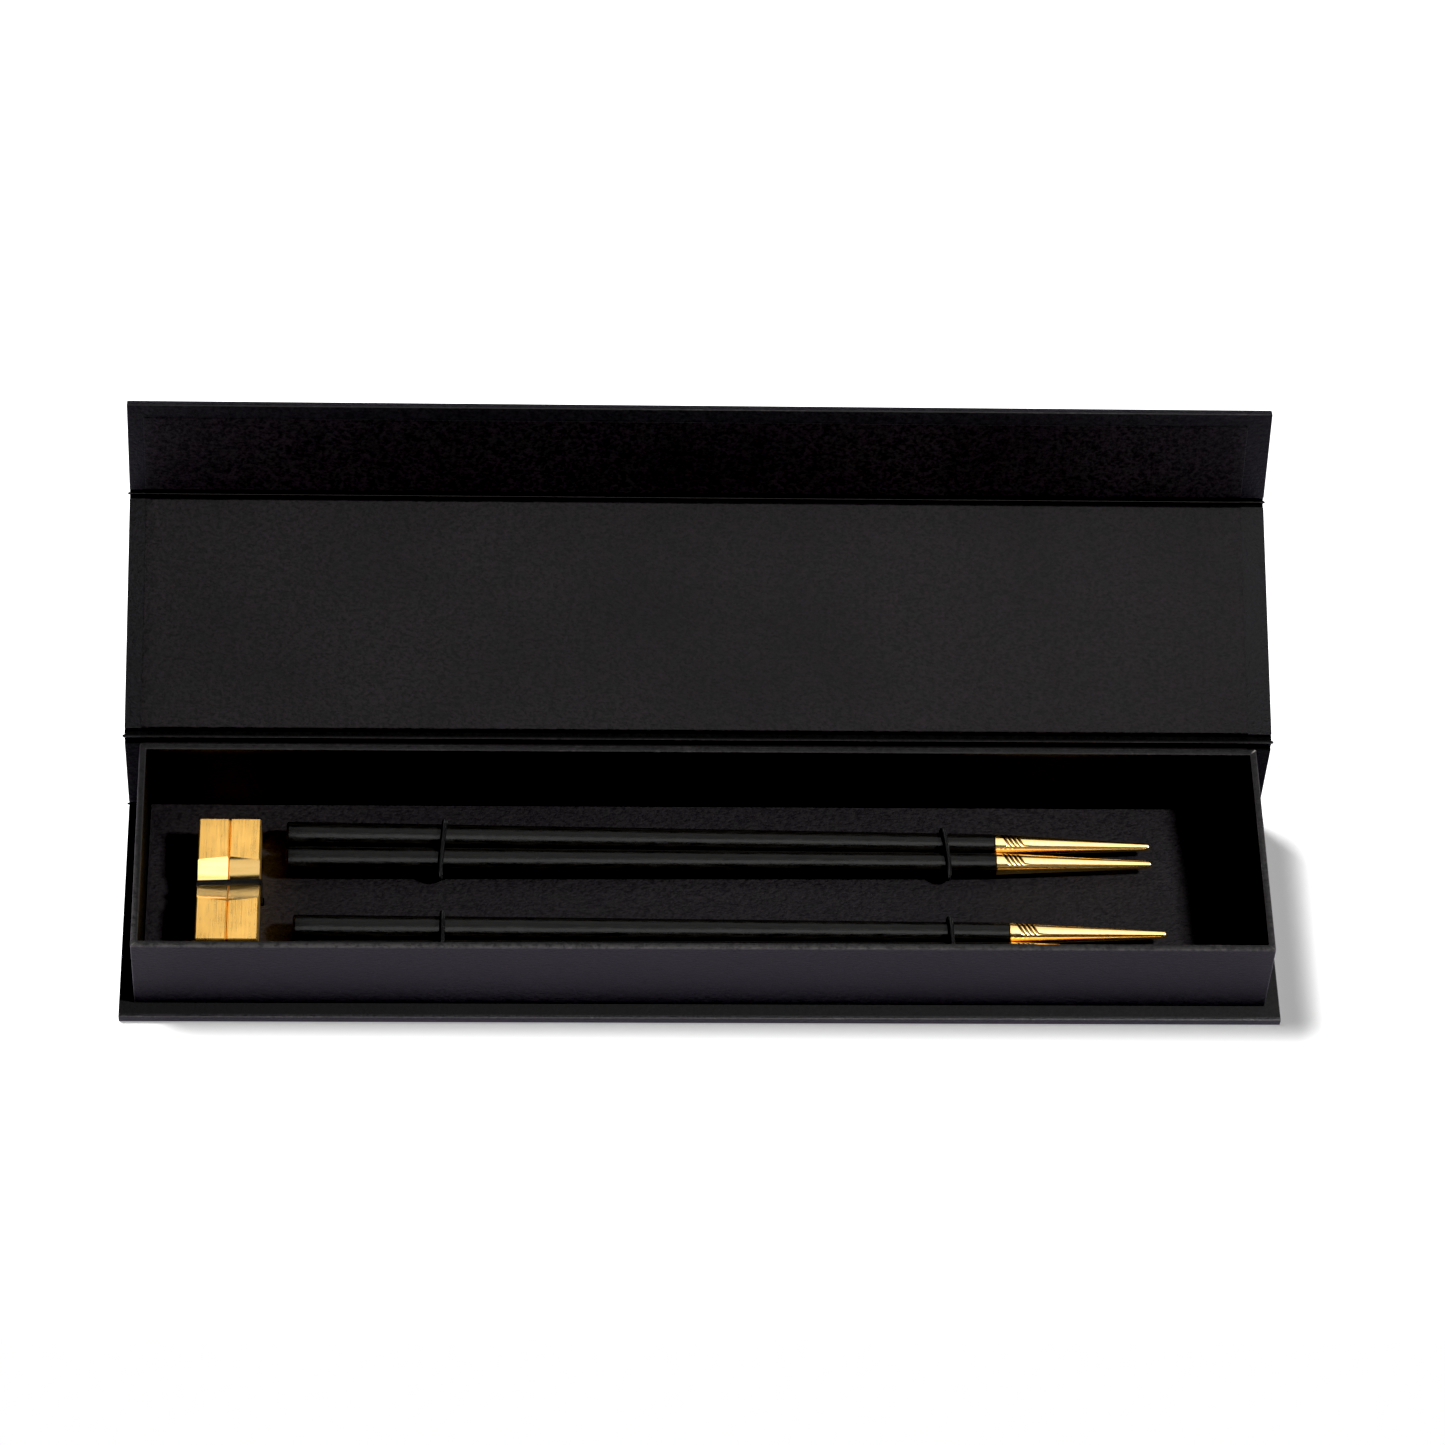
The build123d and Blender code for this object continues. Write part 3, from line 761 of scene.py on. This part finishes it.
def make_tray():
    """Outer walls, rounded rim, inner walls and floor of the covered tray."""
    half_w = (tray_high.x - tray_low.x) / 2
    half_d = (tray_high.y - tray_low.y) / 2
    centre = (tray_high.y + tray_low.y) / 2
    inner_r = 0.25 * MM
    rings, wear, crease, bare = [], [], [], []
    lost = (0.25, 0.9, 0.0, 0.35)    # paper lost at the corners, in the same order as RUBBED

    def ring(inset, z, radius, wear_and_highlight_amount):
        points = rounded_rectangle(half_w - inset, half_d - inset, radius, z, centre)
        if z > rim - 5 * MM:
            for point in points:
                point.z -= RIM_DROP * (tray_high.y - point.y) / (2 * half_d)
        rings.append(points)
        # painted shade, 0.85, on the inner walls below the rim
        below = smooth((rim - z - 0.6 * MM) / (1.0 * MM)) if inset == TRAY_WALL else 0.0
        crease.extend([0.85 * below] * len(points))
        on_rim = rim - z < EDGE_R * 1.2 and inset < TRAY_WALL / 2
        bare.extend(max(RUBBED[i // 7], lost[i // 7] if i % 7 not in (0, 6) else 0.0) if on_rim else 0.0
                    for i in range(len(points)))
        corner = [i % 7 not in (0, 6) for i in range(len(points))]
        wear.extend(max(wear_and_highlight_amount, 0.8 if is_corner and inset < TRAY_WALL / 2 else 0.0) for is_corner in corner)

    rim = tray_high.z
    ring(0, tray_low.z, EDGE_R, 0)
    ring(0, rim - EDGE_R - 0.4 * MM, EDGE_R, 0)
    ring(0, rim - EDGE_R, EDGE_R, 0.1)
    # the rim's two roundings get large edge-paint amounts: scuffed wear and a thin painted highlight line along each
    # edge
    for i in range(1, 5):
        angle = math.pi / 2 * i / 4
        inset = EDGE_R * (1 - math.cos(angle))
        ring(inset, rim - EDGE_R + EDGE_R * math.sin(angle), EDGE_R, 1.8 if i < 4 else 0.25)
    for i in range(5):
        angle = math.pi / 2 * i / 4
        inset = TRAY_WALL - EDGE_R + EDGE_R * math.sin(angle)
        ring(inset, rim - EDGE_R + EDGE_R * math.cos(angle), inner_r, 1.3 if 0 < i < 4 else 0.25)
    ring(TRAY_WALL, rim - EDGE_R - 0.2 * MM, inner_r, 0)
    ring(TRAY_WALL, rim - 2 * MM, inner_r, 0)
    ring(TRAY_WALL, tray_low.z + TRAY_FLOOR, inner_r, 0)
    verts, faces = loft(rings)
    piece = new_piece("tray_cover", verts, faces)
    set_float(piece, "wear", wear)
    set_float(piece, "crease", crease)
    set_float(piece, "bare", bare)
    return finish_piece(piece, cover_paper, "cover_paper", "case", ["tray_wrap"])


make_tray()

# ==== Insert card: the CAD card, with its folds rounded ====
card = frame["nodes"]["insert_card"]
fold = card.modifiers.new("fold", "BEVEL")
fold.width = 0.2 * MM
fold.segments = 3
fold.limit_method = "ANGLE"


# ==== Chopsticks ====
def end_centre(node, last):
    """Middle of a CAD node's face at its lowest or highest X."""
    points = [v.co for v in frame["nodes"][node].data.vertices]
    limit = max(p.x for p in points) if last else min(p.x for p in points)
    edge = [p for p in points if abs(p.x - limit) < 0.1 * MM]
    return Vector([(min(p[i] for p in edge) + max(p[i] for p in edge)) / 2 for i in range(3)])


def stick_frame(stick):
    """(butt, direction to the tip, towards the back, length) of a chopstick."""
    butt = end_centre(f"{stick}_handle", False)
    point = end_centre(f"{stick}_tip", True)
    point.z = butt.z
    forward = (point - butt).normalized()
    return butt, forward, Vector((0, 0, 1)).cross(forward), (point - butt).length


def lathe(stick, profile, sides, radius_at=None):
    """Rings round a chopstick's axis from (distance, radius) pairs. radius_at can change
    the radius at a distance and angle; the angle is 0 at the top and grows to the back."""
    butt, forward, back, _ = stick_frame(stick)
    rings = []
    for distance, radius in profile:
        ring = []
        for i in range(sides):
            angle = 2 * math.pi * i / sides
            here = radius_at(distance, radius, angle) if radius_at else radius
            offset = back * (here * math.sin(angle)) + Vector((0, 0, here * math.cos(angle)))
            ring.append(butt + forward * distance + offset)
        rings.append(ring)
    return loft(rings)


def make_handle(stick, length):
    """Round, tapered handle with a softened butt."""
    round_r = 0.7 * MM
    profile = [(0.0, BUTT_R * share) for share in (0.02, 0.4, 0.7)]
    for i in range(9):
        angle = math.pi / 2 * i / 8
        profile.append((round_r * (1 - math.cos(angle)), BUTT_R - round_r + round_r * math.sin(angle)))
    handle_l = length - TIP_L
    for i in range(1, 40):
        share = i / 40
        profile.append((round_r + (handle_l - round_r) * share, BUTT_R + (JOIN_R - BUTT_R) * share))
    end_r = 0.12 * MM
    profile += [(handle_l - end_r, JOIN_R), (handle_l - 0.02 * MM, JOIN_R - end_r)]
    profile += [(handle_l - 0.01 * MM, JOIN_R * 0.3)]
    verts, faces = lathe(stick, profile, 72)
    piece = new_piece(f"{stick}_black_handle", verts, faces)
    return finish_piece(piece, black_handle, "black_handle", stick, [f"{stick}_handle"])


GROOVES, GROOVE_START, GROOVE_PITCH = 4, 2.6 * MM, 1.25 * MM
GROOVE_W, GROOVE_DEPTH = 0.78 * MM, 0.36 * MM
GROOVE_MIDDLE, GROOVE_REACH = math.radians(10), math.radians(52)
GROOVE_LEAN = math.tan(math.radians(26))


def make_tip(stick, length):
    """Gold tip with a bevelled shoulder, four slanted grip grooves and a rounded point."""
    start = length - TIP_L
    slope = (POINT_R - JOIN_R) / TIP_L
    cut = []    # how deep in a groove each vertex lies; the material paints shade by it

    def depth(distance, angle):
        turn = (angle + math.pi) % (2 * math.pi) - math.pi - GROOVE_MIDDLE
        if abs(turn) > GROOVE_REACH:
            return 0.0
        fade = math.cos(turn / GROOVE_REACH * math.pi / 2) ** 0.7
        along = distance - start - GROOVE_START + turn * JOIN_R * GROOVE_LEAN
        nearest = min(GROOVES - 1, max(0, round(along / GROOVE_PITCH)))
        off = abs(along - nearest * GROOVE_PITCH)
        if off > GROOVE_W / 2:
            return 0.0
        return fade * math.cos(off / GROOVE_W * math.pi) ** 0.6

    def grooved(distance, radius, angle):
        cut.append(depth(distance, angle))
        return radius - GROOVE_DEPTH * cut[-1]

    bevel = 0.16 * MM
    profile = [(start + 0.03 * MM, JOIN_R * 0.3), (start + 0.03 * MM, JOIN_R - 1.6 * bevel)]
    profile += [(start + 0.06 * MM, JOIN_R - bevel), (start + 1.2 * bevel, JOIN_R - 0.03 * MM)]
    runs = spaced(1.6 * bevel, 1.4 * MM, 0.4 * MM) + spaced(1.4 * MM, 7.8 * MM, 0.05 * MM)
    runs += spaced(7.8 * MM, TIP_L - POINT_R, 1.2 * MM)
    profile += [(start + run, JOIN_R + slope * run) for run in runs]
    for i in range(9):
        angle = math.pi / 2 * i / 8.3
        profile.append((start + TIP_L - POINT_R * (1 - math.sin(angle)), POINT_R * 1.02 * math.cos(angle)))
    verts, faces = lathe(stick, profile, 120, grooved)
    piece = new_piece(f"{stick}_gold_tip", verts, faces, math.radians(50))
    set_float(piece, "cut", cut)
    return finish_piece(piece, gold_tip, "gold_tip", stick, [f"{stick}_tip"])


for pair in ("back", "front"):
    for number in (1, 2):
        stick = f"chopstick_{pair}_{number}"
        stick_length = stick_frame(stick)[3]
        make_handle(stick, stick_length)
        make_tip(stick, stick_length)


# ==== Elastic ====
def sweep_closed(name, centres, sides_out, section, uv_scale):
    """A closed tube: section points are (across, out) from each centre. sides_out gives
    the outward and across directions at each centre."""
    rings = []
    for centre, out in zip(centres, sides_out):
        across = out[1]
        rings.append([centre + across * a + out[0] * o for a, o in section])
    verts, faces = loft(rings, closed=True)
    piece = new_piece(name, verts, faces, math.radians(80))
    lengths = [0.0]
    for i in range(len(centres)):
        lengths.append(lengths[-1] + (centres[(i + 1) % len(centres)] - centres[i]).length)
    layer = piece.data.uv_layers.new(name="UVMap")
    count = len(section)
    for polygon in piece.data.polygons:
        rows = [piece.data.loops[i].vertex_index // count for i in polygon.loop_indices]
        columns = [piece.data.loops[i].vertex_index % count for i in polygon.loop_indices]
        for i, row, column in zip(polygon.loop_indices, rows, columns):
            if row == 0 and max(rows) == len(centres) - 1:
                row = len(centres)
            if column == 0 and max(columns) == count - 1:
                column = count
            layer.data[i].uv = (column / count * uv_scale[0], lengths[row] * uv_scale[1])
    return piece


def arc(centre, radius, start, stop, steps):
    """Points and outward directions on an arc in the Y-Z plane, angles from +Y."""
    made = []
    for i in range(steps + 1):
        angle = start + (stop - start) * i / steps
        out = Vector((0, math.cos(angle), math.sin(angle)))
        made.append((centre + out * radius, out))
    return made


def make_loop(pair, end, skew):
    """Elastic cord: up through the card, tight over both chopsticks and down again."""
    name = f"loop_{pair}_{end}"
    low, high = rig.box(name)
    x = (low.x + high.x) / 2
    first, second = (stick_frame(f"chopstick_{pair}_{number}") for number in (1, 2))
    centres, radii = [], []
    for butt, forward, _, length in (first, second):
        along = (x - butt.x) / forward.x
        centres.append(butt + forward * along)
        radii.append(BUTT_R + (JOIN_R - BUTT_R) * along / (length - TIP_L))
    back, front = centres
    bend = radii[0] + CORD_SLACK + CORD_R
    bottom = low.z + CORD_R
    path = arc(back, bend, -CORD_WRAP, math.pi / 2, 18)
    path += [(back.lerp(front, t) + Vector((0, 0, bend)), Vector((0, 0, 1))) for t in (0.2, 0.4, 0.6, 0.8)]
    path += arc(front, bend, math.pi / 2, math.pi + CORD_WRAP, 18)
    # the runs under the sticks dive to a flat run below the card
    dive = (bend - math.sin(CORD_WRAP) * (back.z - bottom)) / math.cos(CORD_WRAP)
    turn = CORD_TURN * math.tan((math.pi / 2 - CORD_WRAP) / 2)
    for centre_y, side in ((front.y - dive + turn, -1), (back.y + dive - turn, 1)):
        corner = Vector((x, centre_y, bottom + CORD_TURN))
        down = 1.5 * math.pi
        swing = [math.pi + CORD_WRAP, down] if side < 0 else [down, 2 * math.pi - CORD_WRAP]
        path += arc(corner, CORD_TURN, *swing, 4)
    middle = (front.y + back.y) / 2
    half = (back.y - front.y) / 2 + bend
    points = [p + Vector((skew * (p.y - middle) / half, 0, 0)) for p, _ in path]
    section = [
        (CORD_R * math.cos(t), CORD_R * math.sin(t)) for t in (2 * math.pi * i / 20 for i in range(20))
    ]
    piece = sweep_closed(f"{name}_cord", points, [(out, X_AXIS) for _, out in path], section, (1.0, 420.0))
    return finish_piece(piece, elastic, "elastic", "case", [name])


LOOP_SKEW = {    # millimetres either way
    ("back", "left"): 0.7,
    ("back", "right"): -0.6,
    ("front", "left"): 0.1,
    ("front", "right"): -0.2,
}
for (pair, end), skew in LOOP_SKEW.items():
    make_loop(pair, end, skew * MM)


BAND_TURN = math.radians(2.2)    # how far the band lies off square to the rests


def make_band():
    """Flat ribbed elastic round both rests."""
    low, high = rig.box("rest_band")
    thick = 0.55 * MM
    width = (high.y - low.y) * 0.92
    corner = 0.8 * MM
    steps = 10
    lowx, highx, lowz, highz = low.x + thick / 2, high.x - thick / 2, low.z + thick / 2, high.z - thick / 2
    centre = (low + high) / 2
    ribs = 4
    path = []
    for cx, cz, start in (
        (highx - corner, highz - corner, 0),
        (lowx + corner, highz - corner, math.pi / 2),
        (lowx + corner, lowz + corner, math.pi),
        (highx - corner, lowz + corner, 1.5 * math.pi),
    ):
        for i in range(7):
            angle = start + math.pi / 2 * i / 6
            out = Vector((math.cos(angle), 0, math.sin(angle)))
            path.append((Vector((cx, centre.y, cz)) + out * corner, out))
        if start in (0, math.pi):
            z = highz if start == 0 else lowz
            for t in (step / steps for step in range(1, steps)):
                across = (highx - corner) + (lowx - highx + 2 * corner) * (t if start == 0 else 1 - t)
                path.append((Vector((across, centre.y, z)), Vector((0, 0, 1 if start == 0 else -1))))
    skew = math.tan(BAND_TURN)
    points = [p + Vector((0, skew * (p.x - centre.x) + wobble(p.x, 7, 0.12 * MM), 0)) for p, _ in path]
    section = []
    half_count = 4 * ribs
    for side in (1, -1):
        for i in range(half_count):
            across = side * width * (0.5 - i / half_count)
            rib = 0.78 + 0.22 * abs(math.sin(math.pi * (across / width + 0.5) * ribs))
            if i == 0:
                rib = 0.45
            section.append((across, side * thick / 2 * rib))
    axes = [(out, Vector((0, 1, 0))) for _, out in path]
    piece = sweep_closed("rest_band_elastic", points, axes, section, (3.0, 420.0))
    return finish_piece(piece, elastic, "elastic", "case", ["rest_band"])


make_band()


# ==== Rests ====
def make_rest(name, deep_side):
    """A bar with bevelled edges and a polished saddle that leans to one side."""
    low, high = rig.box(name)
    centre = (low + high) / 2
    half_w, half_l, top = (high.x - low.x) / 2, (high.y - low.y) / 2, high.z
    lean, upright = math.sin(SADDLE_TILT) * deep_side, math.cos(SADDLE_TILT)
    axis_z = top + SADDLE_R - SADDLE_DEPTH

    def saddle_reach(dx):
        return math.sqrt(SADDLE_R**2 - (upright * (axis_z - top) - lean * dx) ** 2)

    def saddle_z(dx, dy):
        return axis_z - (math.sqrt(max(SADDLE_R**2 - dy**2, 0)) + lean * dx) / upright

    top_x = [1 - 2 * i / 6 for i in range(7)]
    stations = [("end", 0.0), ("end", REST_EDGE)]
    stations += [("flat", i / 8) for i in range(9)]
    stations += [("saddle", i / 48) for i in range(1, 48)]
    stations += [("back", i / 8) for i in range(9)]
    stations += [("tail", REST_EDGE), ("tail", 0.0)]
    rings, saddle_rows = [], []
    for kind, value in stations:
        ring = []
        outer = kind in ("end", "tail") and value == 0.0
        cut = REST_EDGE if outer else 0.0
        in_saddle = kind == "saddle"
        edge = SADDLE_EDGE if in_saddle else REST_EDGE

        def at(dx, z):
            reach_y = saddle_reach(dx)
            if kind == "end":
                dy = -half_l + value
            elif kind == "tail":
                dy = half_l - value
            elif kind == "flat":
                dy = -half_l + REST_EDGE + (half_l - REST_EDGE - reach_y) * value
            elif kind == "back":
                dy = reach_y + (half_l - REST_EDGE - reach_y) * value
            else:
                swing = math.asin(reach_y / SADDLE_R)
                dy = SADDLE_R * math.sin(swing * (2 * value - 1))
            if z is None:
                z = saddle_z(dx, dy) if in_saddle else top - cut
            return Vector((centre.x + dx, centre.y + dy, z))

        rim = half_w - cut
        corner = rim - (edge if not outer else REST_EDGE * 0.2)
        for share in top_x:
            ring.append(at(corner * share, None))
        for side in (-1, 1):
            upper = at(side * rim, None)
            side_points = [
                Vector((centre.x + side * rim, upper.y, upper.z - (edge if not outer else REST_EDGE * 0.2))),
                Vector((centre.x + side * rim, upper.y, low.z + REST_EDGE)),
                Vector((centre.x + side * corner, upper.y, low.z + cut)),
            ]
            ring += side_points if side < 0 else reversed(side_points)
        rings.append(ring)
        saddle_rows.append(in_saddle)
    verts, faces = loft(rings)
    piece = new_piece(f"{name}_bar", verts, faces, math.radians(14))
    piece.data.materials.append(gold_brushed)
    piece.data.materials.append(gold_polished)
    for polygon in piece.data.polygons:
        offset = polygon.center - centre
        upward = polygon.normal.z > 0.5
        inside = abs(offset.y) < saddle_reach(offset.x)
        polygon.material_index = 1 if upward and inside and abs(offset.x) < half_w - SADDLE_EDGE * 0.9 else 0
    return finish_piece(piece, gold_brushed, "rest_brass", f"{name}_body", [name])


make_rest("rest_left", 1)
make_rest("rest_right", -1)

# ==== Carried-over CAD nodes ====
NODE_MATERIALS = {
    "base_board": greyboard,
    "spine_board": greyboard,
    "lid_board": greyboard,
    "flap_board": greyboard,
    "tray_board": greyboard,
    "tray_corner_stays": kraft_tape,
    "flap_magnets": steel,
    "magnet_keepers": steel,
    "insert_card": insert_paper,
}
for node_name, material in NODE_MATERIALS.items():
    mesh = frame["nodes"][node_name].data
    mesh.materials.clear()
    mesh.materials.append(material)

# ==== Camera ====
YAW, PITCH, ROLL = math.radians(4.6), math.radians(52.29), math.radians(3.98)
DISTANCE = 1.478
LENS = 135.03
look = Vector((math.sin(YAW) * math.cos(PITCH), math.cos(YAW) * math.cos(PITCH), -math.sin(PITCH)))
right = Vector((math.cos(YAW), -math.sin(YAW), 0))
up = right.cross(look)
rolled_right = right * math.cos(ROLL) + up * math.sin(ROLL)
rolled_up = up * math.cos(ROLL) - right * math.sin(ROLL)
target = Vector((7.8, 65.1, 0)) * MM

camera_data = bpy.data.cameras.new("camera")
camera_data.sensor_width = 36.0
camera_data.lens = LENS
camera = bpy.data.objects.new("camera", camera_data)
bpy.context.scene.collection.objects.link(camera)
pose = Matrix((rolled_right, rolled_up, -look)).transposed().to_4x4()
pose.translation = target - look * DISTANCE
camera.matrix_world = pose
bpy.context.scene.camera = camera

# ==== Floor and light ====
floor_mesh = bpy.data.meshes.new("floor")
FLOOR_FRONT, FLOOR_FAR = -0.13, 1.2
floor_corners = [(-FLOOR_FAR, FLOOR_FRONT), (FLOOR_FAR, FLOOR_FRONT)]
floor_corners += [(FLOOR_FAR, FLOOR_FAR), (-FLOOR_FAR, FLOOR_FAR)]
floor_mesh.from_pydata([(x, y, 0) for x, y in floor_corners], [], [(0, 1, 2, 3)])
floor = bpy.data.objects.new("floor", floor_mesh)
bpy.context.scene.collection.objects.link(floor)
FLOOR_DROP = 0.02 * MM     # keeps the floor off the box's underside
floor.location.z = -FLOOR_DROP
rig.stage(floor)
# white to the camera, dimmer and cooler as a reflector for the box
floor_material, floor_shader, floor_tree, floor_node = make_material("floor")
floor_shader.inputs["Roughness"].default_value = 0.9
floor_shader.inputs["Specular IOR Level"].default_value = 0.1
camera_ray = floor_node("ShaderNodeLightPath").outputs["Is Camera Ray"]
glow = mix_color(floor_node, camera_ray, (0.8, 0.71, 0.93), (0.38, 0.38, 0.38))
tone = mix_color(floor_node, camera_ray, (0.2, 0.2, 0.2), (0.8, 0.8, 0.8))
floor_tree.links.new(tone, floor_shader.inputs["Base Color"])
floor_tree.links.new(glow, floor_shader.inputs["Emission Color"])
floor_shader.inputs["Emission Strength"].default_value = 1.0
floor_mesh.materials.append(floor_material)

AIM = Vector((0.0, 0.03, 0.02))    # what the lights point at
shown = [o for o in bpy.context.scene.objects if o.type == "MESH" and o != floor]
lid_pieces = {"lid_cover", "flap_cover", "lid_liner_sheet", "lid_flap_hinge_cover"}
box_pieces = {"base_cover", "tray_cover"}
spine_pieces = {"spine_cover", "spine_liner_sheet", "spine_lid_hinge_cover", "base_spine_hinge_cover"}


def new_receivers(name, objects):
    """A collection of the only objects that a light shines on, or that block it."""
    receivers = bpy.data.collections.new(name)
    for receiver in objects:
        receivers.objects.link(receiver)
    return receivers


out_of_key = lid_pieces | spine_pieces | {"tray_cover"}
on_tray = new_receivers("on_tray", [o for o in shown if o.name not in out_of_key])
on_floor = new_receivers("on_floor", [floor])
on_gold = new_receivers("on_gold", [o for o in shown if o.name.endswith(("_bar", "_gold_tip"))])
on_rests = new_receivers("on_rests", [o for o in shown if o.name.endswith("_bar")])
handles = [o for o in shown if o.name.endswith("_black_handle")]
on_handles = new_receivers("on_handles", handles)
off_handles = new_receivers("off_handles", [o for o in shown if o not in handles])
off_card = new_receivers("off_card", [o for o in shown if o not in handles and o.name != "insert_card"])


def new_light(name, size, power, color, receivers):
    data = bpy.data.lights.new(name, "AREA")
    data.shape = "RECTANGLE"
    data.size, data.size_y = size
    data.energy = power
    data.color = color
    light = bpy.data.objects.new(name, data)
    light.light_linking.receiver_collection = receivers
    bpy.context.scene.collection.objects.link(light)
    return light


def softbox(name, front, back, left, right, radiance, receivers, color=(1, 1, 1), distance=1.1):
    """A softbox parallel to the box, between two angles from overhead (positive towards
    the front) and two places along X."""
    lean = math.radians((front + back) / 2)
    size = (right - left, 2 * distance * math.tan(math.radians((front - back) / 2)))
    light = new_light(name, size, radiance * math.pi * size[0] * size[1], color, receivers)
    offset = Vector(((left + right) / 2, -distance * math.sin(lean), distance * math.cos(lean)))
    light.location = AIM + offset
    light.rotation_euler = (lean, 0, 0)
    return light


def aimed(light, direction, distance):
    light.location = AIM + Vector(direction).normalized() * distance
    light.rotation_euler = (AIM - light.location).to_track_quat("-Z", "Y").to_euler()


softbox("front_low", 74, 60, -0.25, 0.85, 0.4, off_handles)
softbox("front_high", 60, 40, -0.25, 0.85, 0.1, off_handles)
softbox("handle_line", 45, 15, -0.25, 0.9, 2.5, on_handles)
handle_glow = softbox("handle_glow", 15, -88, -0.25, 0.9, 0.85, on_handles)
handle_glow.light_linking.blocker_collection = on_handles
softbox("top", 32, -15, -0.12, 0.9, 2.45, off_card, (1.0, 0.985, 0.97))
softbox("top_back", -15, -39, -0.15, 0.9, 1.45, off_handles)
softbox("back", -39, -61, -0.15, 0.9, 1.2, on_gold)
saddle_glow = softbox("saddle_glow", -64, -88, -0.5, 0.3, 18.0, on_rests)
saddle_glow.light_linking.blocker_collection = on_rests
softbox("left", 25, -15, -1.0, -0.2, 0.85, off_handles)
aimed(new_light("key", (0.17, 0.17), 41, (1, 0.985, 0.97), on_tray), (8.4, -2.2, 9.2), 1.6)
floor_fill = new_light("floor_fill", (0.58, 0.58), 56, (1, 1, 1), on_floor)
casts = new_receivers("casts", [o for o in shown if o.name in box_pieces])
floor_fill.light_linking.blocker_collection = casts
aimed(floor_fill, (-0.57, 0.4, 1.2), 1.5)

world = bpy.data.worlds.new("studio")
bpy.context.scene.world = world
world.use_nodes = True
background = world.node_tree.nodes["Background"]
paths = world.node_tree.nodes.new("ShaderNodeLightPath")
world.node_tree.links.new(paths.outputs["Is Camera Ray"], background.inputs["Strength"])
background.inputs["Color"].default_value = (1, 1, 1, 1)

view = bpy.context.scene.view_settings
view.view_transform = "Standard"
view.use_curve_mapping = True
BLACK_LEVEL = 0.0038
view.curve_mapping.black_level = (BLACK_LEVEL, BLACK_LEVEL, BLACK_LEVEL)
view.curve_mapping.update()

# ==== Sizes and finish ====
seen_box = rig.bounds()
with open("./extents.json", "w") as sizes:
    json.dump({"cad": [list(c) for c in cad_box], "visual": [list(c) for c in seen_box]}, sizes)
